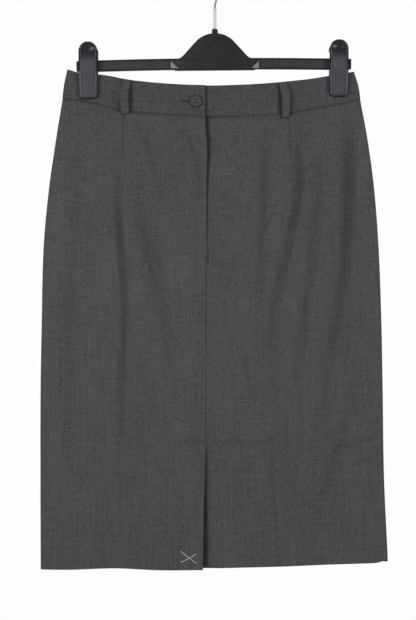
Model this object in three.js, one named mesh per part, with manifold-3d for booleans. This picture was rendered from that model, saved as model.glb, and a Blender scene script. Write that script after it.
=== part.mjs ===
// A pencil skirt of grey wool suiting, hung by its waistband from a clip hanger.
// Millimetres, +Z up, the front faces -Y and +X is to the right as the front is seen.
// The origin is the inside top of the hook, where it bears on a rail.
import * as THREE from "three";
import { mergeVertices } from "three/addons/utils/BufferGeometryUtils.js";
import Module from "manifold-3d";

// Driving dimensions of the cloth.
const SKIRT_LENGTH = 628; // waist edge to hem at centre front
const BAND_HEIGHT = 41;
const WAIST_CENTRE_Z = -162.8; // the waist edge hangs lowest midway between the clips
const WAIST_SAG = 20; // how much higher it is at the side seams
const WAIST_HALF = 190;
const HEM_CENTRE_Z = -791.2;
const HEM_TILT = 0.0222; // the hem climbs this much for each millimetre to the right
const SIDE_ROLL = 4; // radius that the cloth turns with at a side seam
const SWELL_POWER = 1.1; // how quickly the swell falls off towards the side seams
const FOLD_FADE = 30; // the folds fade out over this much beside them
const LIFT_END = 150; // where the drawn-up seam no longer shows in the panels
const SEAM_GAP = 0.3;
const CLOTH = 1.2;
const BAND_PROUD = 0.5; // the band's outer face stands this far outside the panels'
const BAND_INNER = 1.6;
const FRONT = -1;
const BACK = 1;

// Driving dimensions of the front closure. The wearer's right front laps over the left.
const FLY_DEPTH = 2.8; // the fly shield lies this far behind the panel's outer face
const SLIDER_DEPTH = 4;
const ALLOWANCE_DEPTH = CLOTH + SEAM_GAP;
const VENT_START_DEPTH = ALLOWANCE_DEPTH + 0.5;
const VENT_DEPTH = 4.5;
const LAP_CLEAR = 0.4; // the left front starts to rise this far from the lap's edge
const RISE_WIDE = 14; // and comes level after this run at the fly and the vent
const RISE_NARROW = 4; // or this one at the plain seam
const SLIDER_END = 80;
const FLY_END = 234; // measured down from the waist edge, as all such heights are
const VENT_TOP = 474;
const SHIELD_WIDTH = 38;
const ALLOWANCE_WIDTH = 15;
const VENT_WIDTH = 42;

// Driving dimensions of the hanger.
const CLIP_X = [-165.6, 162.2];
const CLIP_TOP_Z = [-106.3, -103.4];
const CLIP_HEIGHT = 74;
const CLIP_WIDTH = 25;
const GRIPPED = 2; // half the thickness that the waist is squeezed to in a clip
const GRIP = { beside: 9, across: 46, above: 4, below: 95 }; // where it starts and stops fading
const BAR_LEFT = -181.2;
const BAR_RIGHT = 178.6;
const BAR_TOP = -126.5; // at its middle
const BAR_BOTTOM = -140.9;
const BAR_DEPTH = 8;
const BAR_TILT = 0.0082; // the skirt's weight turns the bar a little and bows both ends down
const BAR_BOW = 7.5e-5;
const WIRE_RADIUS = 1.3;
const HOOK_RADIUS = 21; // to the wire's centre
const HOOK_SWAY_RADIUS = 31; // the bend that carries the wire from its stem out to the loop
const HOOK_END_TURN = 3.95; // radians that the loop turns through, from its lowest point

// Outline and fullness of the hanging tube. down is the distance below the waist edge, left and
// right are the outline from the front, and front and back are how far each side swells.
const SECTIONS = [
  { down: 0, left: -192.8, right: 182.0, front: 8, back: 9 },
  { down: 20, left: -197.0, right: 187.7, front: 10, back: 11 },
  { down: 41, left: -199.5, right: 190.6, front: 12, back: 14 },
  { down: 92, left: -208.0, right: 200.2, front: 19, back: 23 },
  { down: 152, left: -217.1, right: 208.6, front: 25, back: 31 },
  { down: 229, left: -224.5, right: 214.7, front: 29, back: 35 },
  { down: 320, left: -226.9, right: 218.3, front: 30, back: 35 },
  { down: 411, left: -228.5, right: 220.1, front: 29, back: 33 },
  { down: 518, left: -228.6, right: 221.8, front: 28, back: 31 },
  { down: 628, left: -228.3, right: 226.8, front: 29, back: 32 },
];

// The free edge of the wearer's right front, which laps over the left.
const LAP_EDGE = [
  { down: 0, x: -12.3 },
  { down: 41, x: -12.5 },
  { down: 86, x: -9.9 },
  { down: 120, x: -10.6 },
  { down: 234, x: -11.1 },
  { down: 346, x: -11.5 },
  { down: 474, x: -11.8 },
  { down: 545, x: -14.2 },
  { down: 628, x: -15.4 },
];

// The largest folds. Each is a trough along a curve through three points (x at a distance down
// from the waist edge), with its depth and half width. The last four are on the back.
const FOLDS = [
  { side: FRONT, x: [-120, -121, -123], down: [70, 230, 560], depth: 5, wide: 15 },
  { side: FRONT, x: [-103, -68, -54], down: [150, 305, 430], depth: 4, wide: 15 },
  { side: FRONT, x: [-181, -186, -191], down: [50, 240, 460], depth: 3, wide: 14 },
  { side: FRONT, x: [111, 92, 74], down: [60, 210, 470], depth: 7, wide: 14 },
  { side: FRONT, x: [176, 170, 136], down: [50, 230, 480], depth: 5, wide: 15 },
  { side: FRONT, x: [145, 132, 76], down: [80, 250, 470], depth: 4, wide: 14 },
  { side: BACK, x: [-112, -104, -96], down: [60, 240, 520], depth: 6, wide: 16 },
  { side: BACK, x: [104, 112, 120], down: [60, 220, 480], depth: 5, wide: 16 },
  { side: BACK, x: [-170, -172, -150], down: [50, 230, 450], depth: 4, wide: 15 },
  { side: BACK, x: [168, 160, 132], down: [60, 260, 540], depth: 4, wide: 15 },
];

// How far the seam under the band is drawn up. The clips pull it up and the loops let it sag.
const SEAM_LIFT = [
  { x: -192, lift: 3.1 },
  { x: -164, lift: 4.6 },
  { x: -141, lift: 2.6 },
  { x: -129, lift: 0.2 },
  { x: -122, lift: -2.2 },
  { x: -106, lift: -0.2 },
  { x: 60, lift: 0 },
  { x: 100, lift: 1.4 },
  { x: 150, lift: 2.6 },
  { x: 186, lift: 3.4 },
];

// Cubic interpolation of one column of a table by another, held level past both ends.
function along(table, column, at, key = "down") {
  let i = 0;
  while (i < table.length - 2 && at > table[i + 1][key]) i += 1;
  const [a, b] = [table[i], table[i + 1]];
  const before = table[Math.max(i - 1, 0)];
  const after = table[Math.min(i + 2, table.length - 1)];
  const span = b[key] - a[key];
  const f = THREE.MathUtils.clamp((at - a[key]) / span, 0, 1);
  const slopeA = ((b[column] - before[column]) / (b[key] - before[key])) * span;
  const slopeB = ((after[column] - a[column]) / (after[key] - a[key])) * span;
  const [f2, f3] = [f * f, f * f * f];
  return (
    (2 * f3 - 3 * f2 + 1) * a[column] +
    (f3 - 2 * f2 + f) * slopeA +
    (3 * f2 - 2 * f3) * b[column] +
    (f3 - f2) * slopeB
  );
}

const smooth = THREE.MathUtils.smoothstep;

// Height of a point of the tube. The band's rows run parallel to the sagging waist edge, but
// for its drawn-up seam, and the rows below even out until the last one is the straight hem.
function heightAt(x, down) {
  const waist = WAIST_CENTRE_Z + WAIST_SAG * (x / WAIST_HALF) ** 2;
  const drawn = smooth(down, 8, BAND_HEIGHT) * (1 - smooth(down, BAND_HEIGHT, LIFT_END));
  const lift = along(SEAM_LIFT, "lift", x, "x") * drawn;
  if (down <= BAND_HEIGHT) return waist - down + lift;
  const share = (down - BAND_HEIGHT) / (SKIRT_LENGTH - BAND_HEIGHT);
  return THREE.MathUtils.lerp(waist - BAND_HEIGHT, HEM_CENTRE_Z + HEM_TILT * x, share) + lift;
}

// Sum of the troughs at a place, each a bell across its path that fades at both of its ends.
function foldDepth(side, x, down) {
  let sum = 0;
  for (const fold of FOLDS) {
    const [top, middle, end] = fold.down;
    if (fold.side !== side || down <= top || down >= end) continue;
    const half = down < middle ? (down - top) / (middle - top) : (end - down) / (end - middle);
    const [from, to] = down < middle ? [fold.x[0], fold.x[1]] : [fold.x[2], fold.x[1]];
    const path = THREE.MathUtils.lerp(from, to, 1 - (1 - half) ** 1.5);
    sum += fold.depth * smooth(half, 0, 0.8) * Math.exp(-(((x - path) / fold.wide) ** 2));
  }
  return sum;
}

// How fully a clip holds the two sides together: 1 in its jaws, fading outwards and downwards.
function gripAt(x, down) {
  let grip = 0;
  for (const clipX of CLIP_X) {
    const away = Math.abs(x - clipX) - CLIP_WIDTH / 2;
    const across = 1 - smooth(away, GRIP.beside, GRIP.across);
    const below = 1 - smooth(down, BAND_HEIGHT - GRIP.above, BAND_HEIGHT + GRIP.below);
    grip = Math.max(grip, across * below);
  }
  return grip;
}

// Girth of one side of the tube, from side seam to side seam over the two rolled edges.
function girthAt(down) {
  const width = along(SECTIONS, "right", down) - along(SECTIONS, "left", down);
  return width - 2 * SIDE_ROLL + Math.PI * SIDE_ROLL;
}

// Share of that girth at which the tube passes a given x, away from the rolled edges.
function shareAtX(x, down) {
  const edge = x - along(SECTIONS, "left", down);
  return (edge - SIDE_ROLL + (Math.PI / 2) * SIDE_ROLL) / girthAt(down);
}

// A point of the tube's outer face. share runs over the girth from the left seam to the right.
function skin(side, share, down) {
  const left = along(SECTIONS, "left", down);
  const right = along(SECTIONS, "right", down);
  const girth = girthAt(down);
  const fromLeft = share * girth;
  const fromSeam = Math.min(fromLeft, girth - fromLeft);
  const quarter = (Math.PI / 2) * SIDE_ROLL;
  const turn = Math.min(fromSeam, quarter) / SIDE_ROLL;
  const inset = SIDE_ROLL * (1 - Math.cos(turn)) + Math.max(fromSeam - quarter, 0);
  const rolled = SIDE_ROLL * Math.sin(turn);
  const x = fromLeft < girth / 2 ? left + inset : right - inset;
  const off = (2 * x - left - right) / (right - left);
  const open = Math.max(1 - off * off, 0) ** SWELL_POWER;
  const swell = along(SECTIONS, side === FRONT ? "front" : "back", down) * open;
  const grip = gripAt(x, down);
  const full = rolled + swell - foldDepth(side, x, down) * smooth(inset, 0, FOLD_FADE);
  const depth = full * (1 - grip) + Math.min(rolled, GRIPPED) * grip;
  return new THREE.Vector3(x, side * (SEAM_GAP / 2 + depth), heightAt(x, down));
}

// The outward normal there, from the change of the point along the girth and downwards.
function outwards(side, share, down) {
  const [stepShare, stepDown] = [2e-4, 0.2];
  const [a, b] = [Math.max(share - stepShare, 0), Math.min(share + stepShare, 1)];
  const [c, d] = [Math.max(down - stepDown, 0), Math.min(down + stepDown, SKIRT_LENGTH)];
  const alongGirth = skin(side, b, down).sub(skin(side, a, down));
  const downwards = skin(side, share, d).sub(skin(side, share, c));
  return alongGirth.cross(downwards).multiplyScalar(side).normalize();
}

// A point that lies a given depth inside the outer face (outside it where depth is negative).
function below(side, share, down, depth) {
  return skin(side, share, down).addScaledVector(outwards(side, share, down), -depth);
}

// A closed solid from two grids of points, outer and inner, joined along their four edges.
function closed(outer, inner, flipped) {
  const rows = outer.length;
  const columns = outer[0].length;
  const points = [...outer.flat(), ...inner.flat()];
  const index = [];
  const at = (layer, r, c) => layer * rows * columns + r * columns + c;
  const quad = (a, b, c, d) => index.push(...(flipped ? [a, c, b, a, d, c] : [a, b, c, a, c, d]));
  for (let r = 0; r < rows - 1; r += 1)
    for (let c = 0; c < columns - 1; c += 1) {
      quad(at(0, r, c), at(0, r + 1, c), at(0, r + 1, c + 1), at(0, r, c + 1));
      quad(at(1, r, c), at(1, r, c + 1), at(1, r + 1, c + 1), at(1, r + 1, c));
    }
  for (let r = 0; r < rows - 1; r += 1) {
    const [first, last] = [0, columns - 1];
    quad(at(0, r, first), at(1, r, first), at(1, r + 1, first), at(0, r + 1, first));
    quad(at(0, r, last), at(0, r + 1, last), at(1, r + 1, last), at(1, r, last));
  }
  for (let c = 0; c < columns - 1; c += 1) {
    const [top, bottom] = [0, rows - 1];
    quad(at(0, top, c), at(0, top, c + 1), at(1, top, c + 1), at(1, top, c));
    quad(at(0, bottom, c), at(1, bottom, c), at(1, bottom, c + 1), at(0, bottom, c + 1));
  }
  const geometry = new THREE.BufferGeometry();
  const flat = points.flatMap((p) => [p.x, p.y, p.z]);
  geometry.setAttribute("position", new THREE.Float32BufferAttribute(flat, 3));
  geometry.setIndex(index);
  geometry.computeVertexNormals();
  return geometry;
}

// A wall of cloth. from and to give the share of the girth where each row starts and ends,
// face and lining the depths of its two faces inside the tube's outer face.
function wall({ side, from, to, downs, columns, face, lining }) {
  const grid = (depth) =>
    downs.map((down) =>
      columns.map((f) => {
        const share = THREE.MathUtils.lerp(from(down), to(down), f);
        return below(side, share, down, depth(share, down));
      }),
    );
  return closed(grid(face), grid(lining), side === BACK);
}

const spread = (from, to, steps) =>
  Array.from({ length: steps + 1 }, (_, i) => from + ((to - from) * i) / steps);

// Columns that crowd towards the start, the end or both, where the cloth rolls round a seam.
const CROWDING = 1.45;
const crowdStart = (steps) => spread(0, 1, steps).map((f) => f ** CROWDING);
const crowdEnd = (steps) => crowdStart(steps).map((f) => 1 - f).reverse();
const crowdBoth = (steps) =>
  spread(0, 1, steps).map((f) => {
    const fromEdge = (2 * Math.min(f, 1 - f)) ** CROWDING / 2;
    return f < 0.5 ? fromEdge : 1 - fromEdge;
  });

const bandDowns = spread(0, BAND_HEIGHT, 3);
const panelDowns = [
  ...spread(BAND_HEIGHT + SEAM_GAP, FLY_END - 4, 8),
  ...spread(FLY_END + 8, VENT_TOP - 8, 8),
  ...spread(VENT_TOP + 4, SKIRT_LENGTH, 6),
];

const lapX = (down) => along(LAP_EDGE, "x", down);
const leftSeam = () => 0;
const rightSeam = () => 1;
const lapShare = (down) => shareAtX(lapX(down), down);

// Depth of the wearer's left front behind the lap. It is deepest under the slider, less at the
// fly shield, least at the plain seam and free again in the vent.
function underDepth(down) {
  if (down < SLIDER_END) return SLIDER_DEPTH;
  if (down < FLY_END) return FLY_DEPTH;
  if (down < VENT_TOP) return ALLOWANCE_DEPTH;
  const share = (down - VENT_TOP) / (SKIRT_LENGTH - VENT_TOP);
  return THREE.MathUtils.lerp(VENT_START_DEPTH, VENT_DEPTH, share);
}

function underWidth(down) {
  if (down < FLY_END) return SHIELD_WIDTH;
  return down < VENT_TOP ? ALLOWANCE_WIDTH : VENT_WIDTH;
}

// The left front rises from that depth to the common face over a short run beside the lap.
function leftFace(share, down) {
  const x = along(SECTIONS, "left", down) + share * girthAt(down);
  const run = down < FLY_END || down > VENT_TOP ? RISE_WIDE : RISE_NARROW;
  const past = x - SIDE_ROLL * (Math.PI / 2 - 1) - lapX(down) - LAP_CLEAR;
  return underDepth(down) * (1 - smooth(past, 0, run));
}

const underShare = (down) => shareAtX(lapX(down) - underWidth(down), down);

// The columns of the left pieces: the part behind the lap, the short rise, then the open front.
function leftColumns(down, inner) {
  const [from, lap, rise] = [
    underShare(down),
    lapShare(down),
    shareAtX(lapX(down) + LAP_CLEAR + RISE_WIDE, down),
  ];
  const behind = spread(from, lap, 3);
  const step = [
    THREE.MathUtils.lerp(lap, rise, 0.14),
    THREE.MathUtils.lerp(lap, rise, 0.5),
    rise,
  ];
  return [...behind, ...step, ...crowdEnd(inner).slice(1).map((f) => rise + (1 - rise) * f)];
}

function leftWall(downs, inner, face, lining) {
  const grid = (depth) =>
    downs.map((down) =>
      leftColumns(down, inner).map((share) => below(FRONT, share, down, depth(share, down))),
    );
  return closed(grid(face), grid(lining), false);
}

const wool = (name) =>
  new THREE.MeshStandardMaterial({ name, color: 0x4f4e4e, roughness: 0.95, metalness: 0 });
const blackPlastic = new THREE.MeshStandardMaterial({
  name: "hanger plastic",
  color: 0x2f3034,
  roughness: 0.45,
  metalness: 0,
});
const steel = new THREE.MeshStandardMaterial({
  name: "bright steel",
  color: 0xb4b5b8,
  roughness: 0.3,
  metalness: 1,
});
const sleevePlastic = new THREE.MeshStandardMaterial({
  name: "sleeve plastic",
  color: 0xd8d9dc,
  roughness: 0.4,
  metalness: 0,
});
const horn = new THREE.MeshStandardMaterial({
  name: "button resin",
  color: 0x43424a,
  roughness: 0.4,
  metalness: 0,
});
const tapeCloth = new THREE.MeshStandardMaterial({
  name: "zip tape",
  color: 0x38383a,
  roughness: 0.9,
  metalness: 0,
});

const skirt = new THREE.Group();
const hanger = new THREE.Group();

function add(group, name, geometry, material) {
  const mesh = new THREE.Mesh(geometry, material);
  mesh.name = name;
  group.add(mesh);
  return mesh;
}

// The three panels, seamed at the sides and at centre front.
const panelLining = () => CLOTH;
const panelFace = () => 0;
add(
  skirt,
  "front_right_panel",
  wall({
    side: FRONT,
    from: leftSeam,
    to: lapShare,
    downs: panelDowns,
    columns: crowdStart(15),
    face: panelFace,
    lining: panelLining,
  }),
  wool("wool, right front"),
);
add(
  skirt,
  "front_left_panel",
  leftWall(panelDowns, 13, leftFace, (share, down) => leftFace(share, down) + CLOTH),
  wool("wool, left front"),
);
add(
  skirt,
  "back_panel",
  wall({
    side: BACK,
    from: leftSeam,
    to: rightSeam,
    downs: panelDowns,
    columns: crowdBoth(30),
    face: panelFace,
    lining: panelLining,
  }),
  wool("wool, back"),
);

// The waistband in three pieces, with the left one running on under the right as an extension.
const bandFace = () => -BAND_PROUD;
const bandLining = () => BAND_INNER;
add(
  skirt,
  "waistband_right",
  wall({
    side: FRONT,
    from: leftSeam,
    to: lapShare,
    downs: bandDowns,
    columns: crowdStart(15),
    face: bandFace,
    lining: bandLining,
  }),
  wool("wool, right band"),
);
const underBand = (share, down) =>
  (leftFace(share, down) / SLIDER_DEPTH) * (BAND_INNER + SEAM_GAP + BAND_PROUD) - BAND_PROUD;
add(
  skirt,
  "waistband_left",
  leftWall(bandDowns, 13, underBand, (share, down) => underBand(share, down) + BAND_INNER + BAND_PROUD),
  wool("wool, left band"),
);
add(
  skirt,
  "waistband_back",
  wall({
    side: BACK,
    from: leftSeam,
    to: rightSeam,
    downs: bandDowns,
    columns: crowdBoth(30),
    face: bandFace,
    lining: bandLining,
  }),
  wool("wool, back band"),
);

// Belt loops: folded strips sewn at both ends, that stand off the band between them.
const LOOP_WIDTH = 11.4;
const LOOP_CLOTH = 1.5;
const LOOP_TOP = 0.4;
const LOOP_MIDDLE = 20;
const LOOP_END = BAND_HEIGHT + 4;
const LOOP_RISE = 3;
const LOOP_SEAT = 0.5; // clear of the band at its sewn ends
const LOOPS = [
  { name: "belt_loop_front_right", side: FRONT, top: -114, middle: -117.2, foot: -117.4 },
  { name: "belt_loop_front_left", side: FRONT, top: 88.7, middle: 92.1, foot: 92.0 },
  { name: "belt_loop_back_right", side: BACK, top: -92, middle: -91, foot: -91.5 },
  { name: "belt_loop_back_left", side: BACK, top: 86, middle: 87.5, foot: 87 },
  { name: "belt_loop_back_centre", side: BACK, top: -5, middle: -4, foot: -4.5 },
];
for (const loop of LOOPS) {
  const centre = [
    { down: LOOP_TOP, x: loop.top },
    { down: LOOP_MIDDLE, x: loop.middle },
    { down: LOOP_END, x: loop.foot },
  ];
  const stand = (down) => {
    const f = (down - LOOP_TOP) / (LOOP_END - LOOP_TOP);
    return BAND_PROUD + LOOP_SEAT + LOOP_RISE * smooth(Math.min(f, 1 - f), 0.04, 0.4);
  };
  const edge = (shift) => (down) => shareAtX(along(centre, "x", down) + shift, down);
  add(
    skirt,
    loop.name,
    wall({
      side: loop.side,
      from: edge(-LOOP_WIDTH / 2),
      to: edge(LOOP_WIDTH / 2),
      downs: spread(LOOP_TOP, LOOP_END, 8),
      columns: [0, 0.5, 1],
      face: (_, down) => -stand(down) - LOOP_CLOTH,
      lining: (_, down) => -stand(down),
    }),
    wool("wool, belt loop"),
  );
}

// The zip, wholly behind the lap: a tape from below the slider to the foot of the fly.
const ZIP_BEHIND = 16; // its chain's distance from the lap's edge
const ZIP_TAPE_WIDTH = 24;
const ZIP_TAPE = 0.7;
const ZIP_FACE = CLOTH + SEAM_GAP; // it lies just behind the right front
const ZIP_SHORT = 10; // the tape ends this far above the foot of the fly
const SLIDER = { top: 46, foot: 59, width: 8, thick: 2.2 };
const zipShare = (shift) => (down) => shareAtX(lapX(down) - ZIP_BEHIND + shift, down);
add(
  skirt,
  "zip_tape",
  wall({
    side: FRONT,
    from: zipShare(-ZIP_TAPE_WIDTH / 2),
    to: zipShare(ZIP_TAPE_WIDTH / 2),
    downs: spread(SLIDER.foot + SEAM_GAP, FLY_END - ZIP_SHORT, 8),
    columns: spread(0, 1, 4),
    face: () => ZIP_FACE,
    lining: () => ZIP_FACE + ZIP_TAPE,
  }),
  tapeCloth,
);
add(
  skirt,
  "zip_slider",
  wall({
    side: FRONT,
    from: zipShare(-SLIDER.width / 2),
    to: zipShare(SLIDER.width / 2),
    downs: spread(SLIDER.top, SLIDER.foot, 2),
    columns: [0, 0.5, 1],
    face: () => ZIP_FACE,
    lining: () => ZIP_FACE + SLIDER.thick,
  }),
  steel,
);

// Solids that are cut or joined go through manifold-3d and back.
const wasm = await Module();
wasm.setup();

function solid(geometry) {
  const bare = geometry.clone();
  for (const name of Object.keys(bare.attributes))
    if (name !== "position") bare.deleteAttribute(name);
  const merged = mergeVertices(bare, 1e-4);
  return new wasm.Manifold(
    new wasm.Mesh({
      numProp: 3,
      vertProperties: merged.attributes.position.array,
      triVerts: new Uint32Array(merged.index.array),
    }),
  );
}

function surface(made) {
  const mesh = made.getMesh();
  const geometry = new THREE.BufferGeometry();
  geometry.setAttribute("position", new THREE.BufferAttribute(mesh.vertProperties, 3));
  geometry.setIndex(new THREE.BufferAttribute(mesh.triVerts, 1));
  geometry.computeVertexNormals();
  return geometry;
}

// A block between two places on each axis, in a number of steps along x.
const block = (x, y, z, steps) =>
  new THREE.BoxGeometry(x[1] - x[0], y[1] - y[0], z[1] - z[0], steps).translate(
    (x[0] + x[1]) / 2,
    (y[0] + y[1]) / 2,
    (z[0] + z[1]) / 2,
  );

// An outline in the XZ plane, carried through a thickness centred on y = 0.
function plate(points, thick) {
  const outline = new THREE.Shape(points.map(([x, z]) => new THREE.Vector2(x, z)));
  return new THREE.ExtrudeGeometry(outline, { depth: thick, bevelEnabled: false })
    .rotateX(Math.PI / 2)
    .translate(0, thick / 2, 0);
}

// An upright cylinder between two heights.
const post = (radius, low, high, sides) =>
  new THREE.CylinderGeometry(radius, radius, high - low, sides)
    .rotateX(Math.PI / 2)
    .translate(0, 0, (low + high) / 2);

// The four-hole button, turned with a raised rim and drilled, standing on the band.
const BUTTON = { x: -24.8, down: 20.4, radius: 8.1, rim: 3.1, well: 2.1, lip: 5.4, bevel: 1 };
const HOLE = { radius: 0.95, off: 1.7, sides: 8 };
const BUTTON_OUT = BAND_PROUD + SEAM_GAP + 0.1;
function button() {
  const rise = (radius, height) => new THREE.Vector2(radius, height);
  const disc = solid(
    new THREE.LatheGeometry(
      [
        rise(0, 0),
        rise(BUTTON.radius - BUTTON.bevel, 0),
        rise(BUTTON.radius, BUTTON.bevel),
        rise(BUTTON.radius, BUTTON.rim - BUTTON.bevel),
        rise(BUTTON.radius - BUTTON.bevel, BUTTON.rim),
        rise(BUTTON.lip, BUTTON.rim),
        rise(BUTTON.lip - BUTTON.bevel, BUTTON.well),
        rise(0, BUTTON.well),
      ],
      28,
    ).rotateX(Math.PI / 2),
  );
  let drilled = disc;
  for (const [i, j] of [[-1, -1], [-1, 1], [1, -1], [1, 1]]) {
    const hole = post(HOLE.radius, -BUTTON.rim, 2 * BUTTON.rim, HOLE.sides);
    drilled = drilled.subtract(solid(hole.translate(i * HOLE.off, j * HOLE.off, 0)));
  }
  return surface(drilled);
}
const buttonShare = shareAtX(BUTTON.x, BUTTON.down);
const buttonMesh = add(skirt, "button", button(), horn);
buttonMesh.position.copy(below(FRONT, buttonShare, BUTTON.down, -BUTTON_OUT));
buttonMesh.quaternion.setFromUnitVectors(
  new THREE.Vector3(0, 0, 1),
  outwards(FRONT, buttonShare, BUTTON.down),
);

// The hanger's bar: an I section closed by a block at each end, and a humped plate with a collar.
const FLANGE = 1.7;
const WEB = 3;
const STOP = { depth: 10, foot: 0.9 }; // foot keeps it clear of the waist edge
const HUMP = { foot: 45, shoulder: 23.7, shoulderZ: -103.2, crestZ: -93.9, thick: 8.6 };
const KEEL = { half: 53.5, gusset: 58, z: -142 };
const COLLAR = { radius: 3.9, top: -88.2, root: 4 };
const BORE = WIRE_RADIUS + SEAM_GAP;
const HOOK_FOOT = -104;
const BAR_STEPS = 18;
const barRise = (x) => BAR_TILT * x - BAR_BOW * x * x;

// Shifts each point of a bar's piece up or down with the tilt and bow of the bar there.
function bowed(geometry) {
  const place = geometry.attributes.position;
  for (let i = 0; i < place.count; i += 1) place.setZ(i, place.getZ(i) + barRise(place.getX(i)));
  return geometry;
}

function barSolid() {
  const half = BAR_DEPTH / 2;
  const clear = CLIP_WIDTH / 2 + SEAM_GAP;
  const stopLeft = [BAR_LEFT, CLIP_X[0] - clear];
  const stopRight = [CLIP_X[1] + clear, BAR_RIGHT];
  const length = [stopLeft[1] - 0.2, stopRight[0] + 0.2];
  const beam = solid(bowed(block(length, [-WEB / 2, WEB / 2], [BAR_BOTTOM + 0.5, BAR_TOP - 0.5], BAR_STEPS)))
    .add(solid(bowed(block(length, [-half, half], [BAR_TOP - FLANGE, BAR_TOP], BAR_STEPS))))
    .add(solid(bowed(block(length, [-half, half], [BAR_BOTTOM, BAR_BOTTOM + FLANGE], BAR_STEPS))));
  const stopHeight = [BAR_BOTTOM + STOP.foot, BAR_TOP];
  const stop = (x) =>
    solid(bowed(block(x, [-STOP.depth / 2, STOP.depth / 2], stopHeight, 1)));
  const crest = [];
  for (const f of spread(0, 1, 10)) {
    const turn = Math.PI * (0.25 + 0.5 * f);
    const reach = Math.cos(turn) / Math.cos(Math.PI / 4);
    const rise = (Math.sin(turn) - Math.SQRT1_2) / (1 - Math.SQRT1_2);
    crest.push([HUMP.shoulder * reach, HUMP.shoulderZ + (HUMP.crestZ - HUMP.shoulderZ) * rise]);
  }
  const hump = plate(
    [
      [-KEEL.half, KEEL.z],
      [KEEL.half, KEEL.z],
      [KEEL.gusset, BAR_TOP - FLANGE],
      [HUMP.foot, BAR_TOP],
      ...crest,
      [-HUMP.foot, BAR_TOP],
      [-KEEL.gusset, BAR_TOP - FLANGE],
    ],
    HUMP.thick,
  );
  const bored = beam
    .add(stop(stopLeft))
    .add(stop(stopRight))
    .add(solid(bowed(hump)))
    .add(solid(post(COLLAR.radius, HUMP.crestZ - COLLAR.root, COLLAR.top, 20)));
  return bored.subtract(solid(post(BORE, HOOK_FOOT - SEAM_GAP, COLLAR.top + 1, 12)));
}
add(hanger, "hanger_bar", surface(barSolid()), blackPlastic);

// The hook: a straight stem, a bend outwards, then the loop over the rail. The bend's angle is
// where its circle and the loop's touch, and the loop is centred over the stem.
const bendTurn = Math.acos(HOOK_SWAY_RADIUS / (HOOK_SWAY_RADIUS + HOOK_RADIUS));
const loopZ = WIRE_RADIUS - HOOK_RADIUS;
const stemTop = loopZ - (HOOK_SWAY_RADIUS + HOOK_RADIUS) * Math.sin(bendTurn);
class HookPath extends THREE.Curve {
  constructor() {
    super();
    this.stem = stemTop - HOOK_FOOT;
    this.bend = HOOK_SWAY_RADIUS * bendTurn;
    this.loop = HOOK_RADIUS * HOOK_END_TURN;
  }
  getPoint(t) {
    const run = t * (this.stem + this.bend + this.loop);
    if (run < this.stem) return new THREE.Vector3(0, 0, HOOK_FOOT + run);
    const angle = (run - this.stem) / HOOK_SWAY_RADIUS;
    if (angle < bendTurn)
      return new THREE.Vector3(
        HOOK_SWAY_RADIUS * (1 - Math.cos(angle)),
        0,
        stemTop + HOOK_SWAY_RADIUS * Math.sin(angle),
      );
    const turned = (run - this.stem - this.bend) / HOOK_RADIUS - bendTurn;
    return new THREE.Vector3(
      HOOK_RADIUS * Math.cos(turned),
      0,
      loopZ + HOOK_RADIUS * Math.sin(turned),
    );
  }
}
const wireSection = new THREE.Shape(
  spread(0, 9, 9).map((i) => {
    const turn = (i * Math.PI) / 5;
    return new THREE.Vector2(WIRE_RADIUS * Math.cos(turn), WIRE_RADIUS * Math.sin(turn));
  }),
);
add(
  hanger,
  "hanger_hook",
  new THREE.ExtrudeGeometry(wireSection, { steps: 46, extrudePath: new HookPath() }),
  steel,
);

// A pale tube over the stem, from the collar to where the bend starts.
const SLEEVE_RADIUS = 2.05;
add(
  hanger,
  "hook_sleeve",
  new THREE.LatheGeometry(
    [
      new THREE.Vector2(BORE, COLLAR.top + SEAM_GAP),
      new THREE.Vector2(SLEEVE_RADIUS, COLLAR.top + SEAM_GAP),
      new THREE.Vector2(SLEEVE_RADIUS, stemTop),
      new THREE.Vector2(BORE, stemTop),
      new THREE.Vector2(BORE, COLLAR.top + SEAM_GAP),
    ],
    16,
  ).rotateX(Math.PI / 2),
  sleevePlastic,
);

// A clip jaw: a plate bent to a round thumb pad above the bar and a grip below, with two cheeks
// that meet the other jaw's over the bar. Each row is a height below the clip's top and the y
// of the front jaw's outer and inner face.
const JAW = [
  { drop: 0, outer: -16, inner: -13.8 },
  { drop: 3, outer: -16.4, inner: -13.4 },
  { drop: 14, outer: -12.2, inner: -9.2 },
  { drop: 24, outer: -10.6, inner: -7.4 },
  { drop: 40, outer: -10.2, inner: -7.2 },
  { drop: 52, outer: -8.4, inner: -4.6 },
  { drop: 60, outer: -7.4, inner: -2.9 },
  { drop: 73, outer: -6.6, inner: -2.9 },
  { drop: CLIP_HEIGHT, outer: -5.6, inner: -2.9 },
];
const JAW_FOOT_RADIUS = 5;
const JAW_ROOM = 40; // deep enough to hold both jaws
const CHEEK = { thick: 2, top: 14, foot: 39 };
const CHEEK_PLAY = 0.45; // room for the bar's slope across the width of a clip

// The outline of a jaw from the front: a half circle, straight sides and rounded lower corners.
function jawOutline(x, top) {
  const half = CLIP_WIDTH / 2;
  const [inner, low] = [half - JAW_FOOT_RADIUS, top - CLIP_HEIGHT + JAW_FOOT_RADIUS];
  const arc = (centreX, centreZ, radius, from, to, steps) =>
    spread(from * Math.PI, to * Math.PI, steps).map((turn) => [
      centreX + radius * Math.cos(turn),
      centreZ + radius * Math.sin(turn),
    ]);
  return [
    ...arc(x, top - half, half, 0, 1, 18),
    ...arc(x - inner, low, JAW_FOOT_RADIUS, 1, 1.5, 5),
    ...arc(x + inner, low, JAW_FOOT_RADIUS, 1.5, 2, 5),
  ];
}

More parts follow.
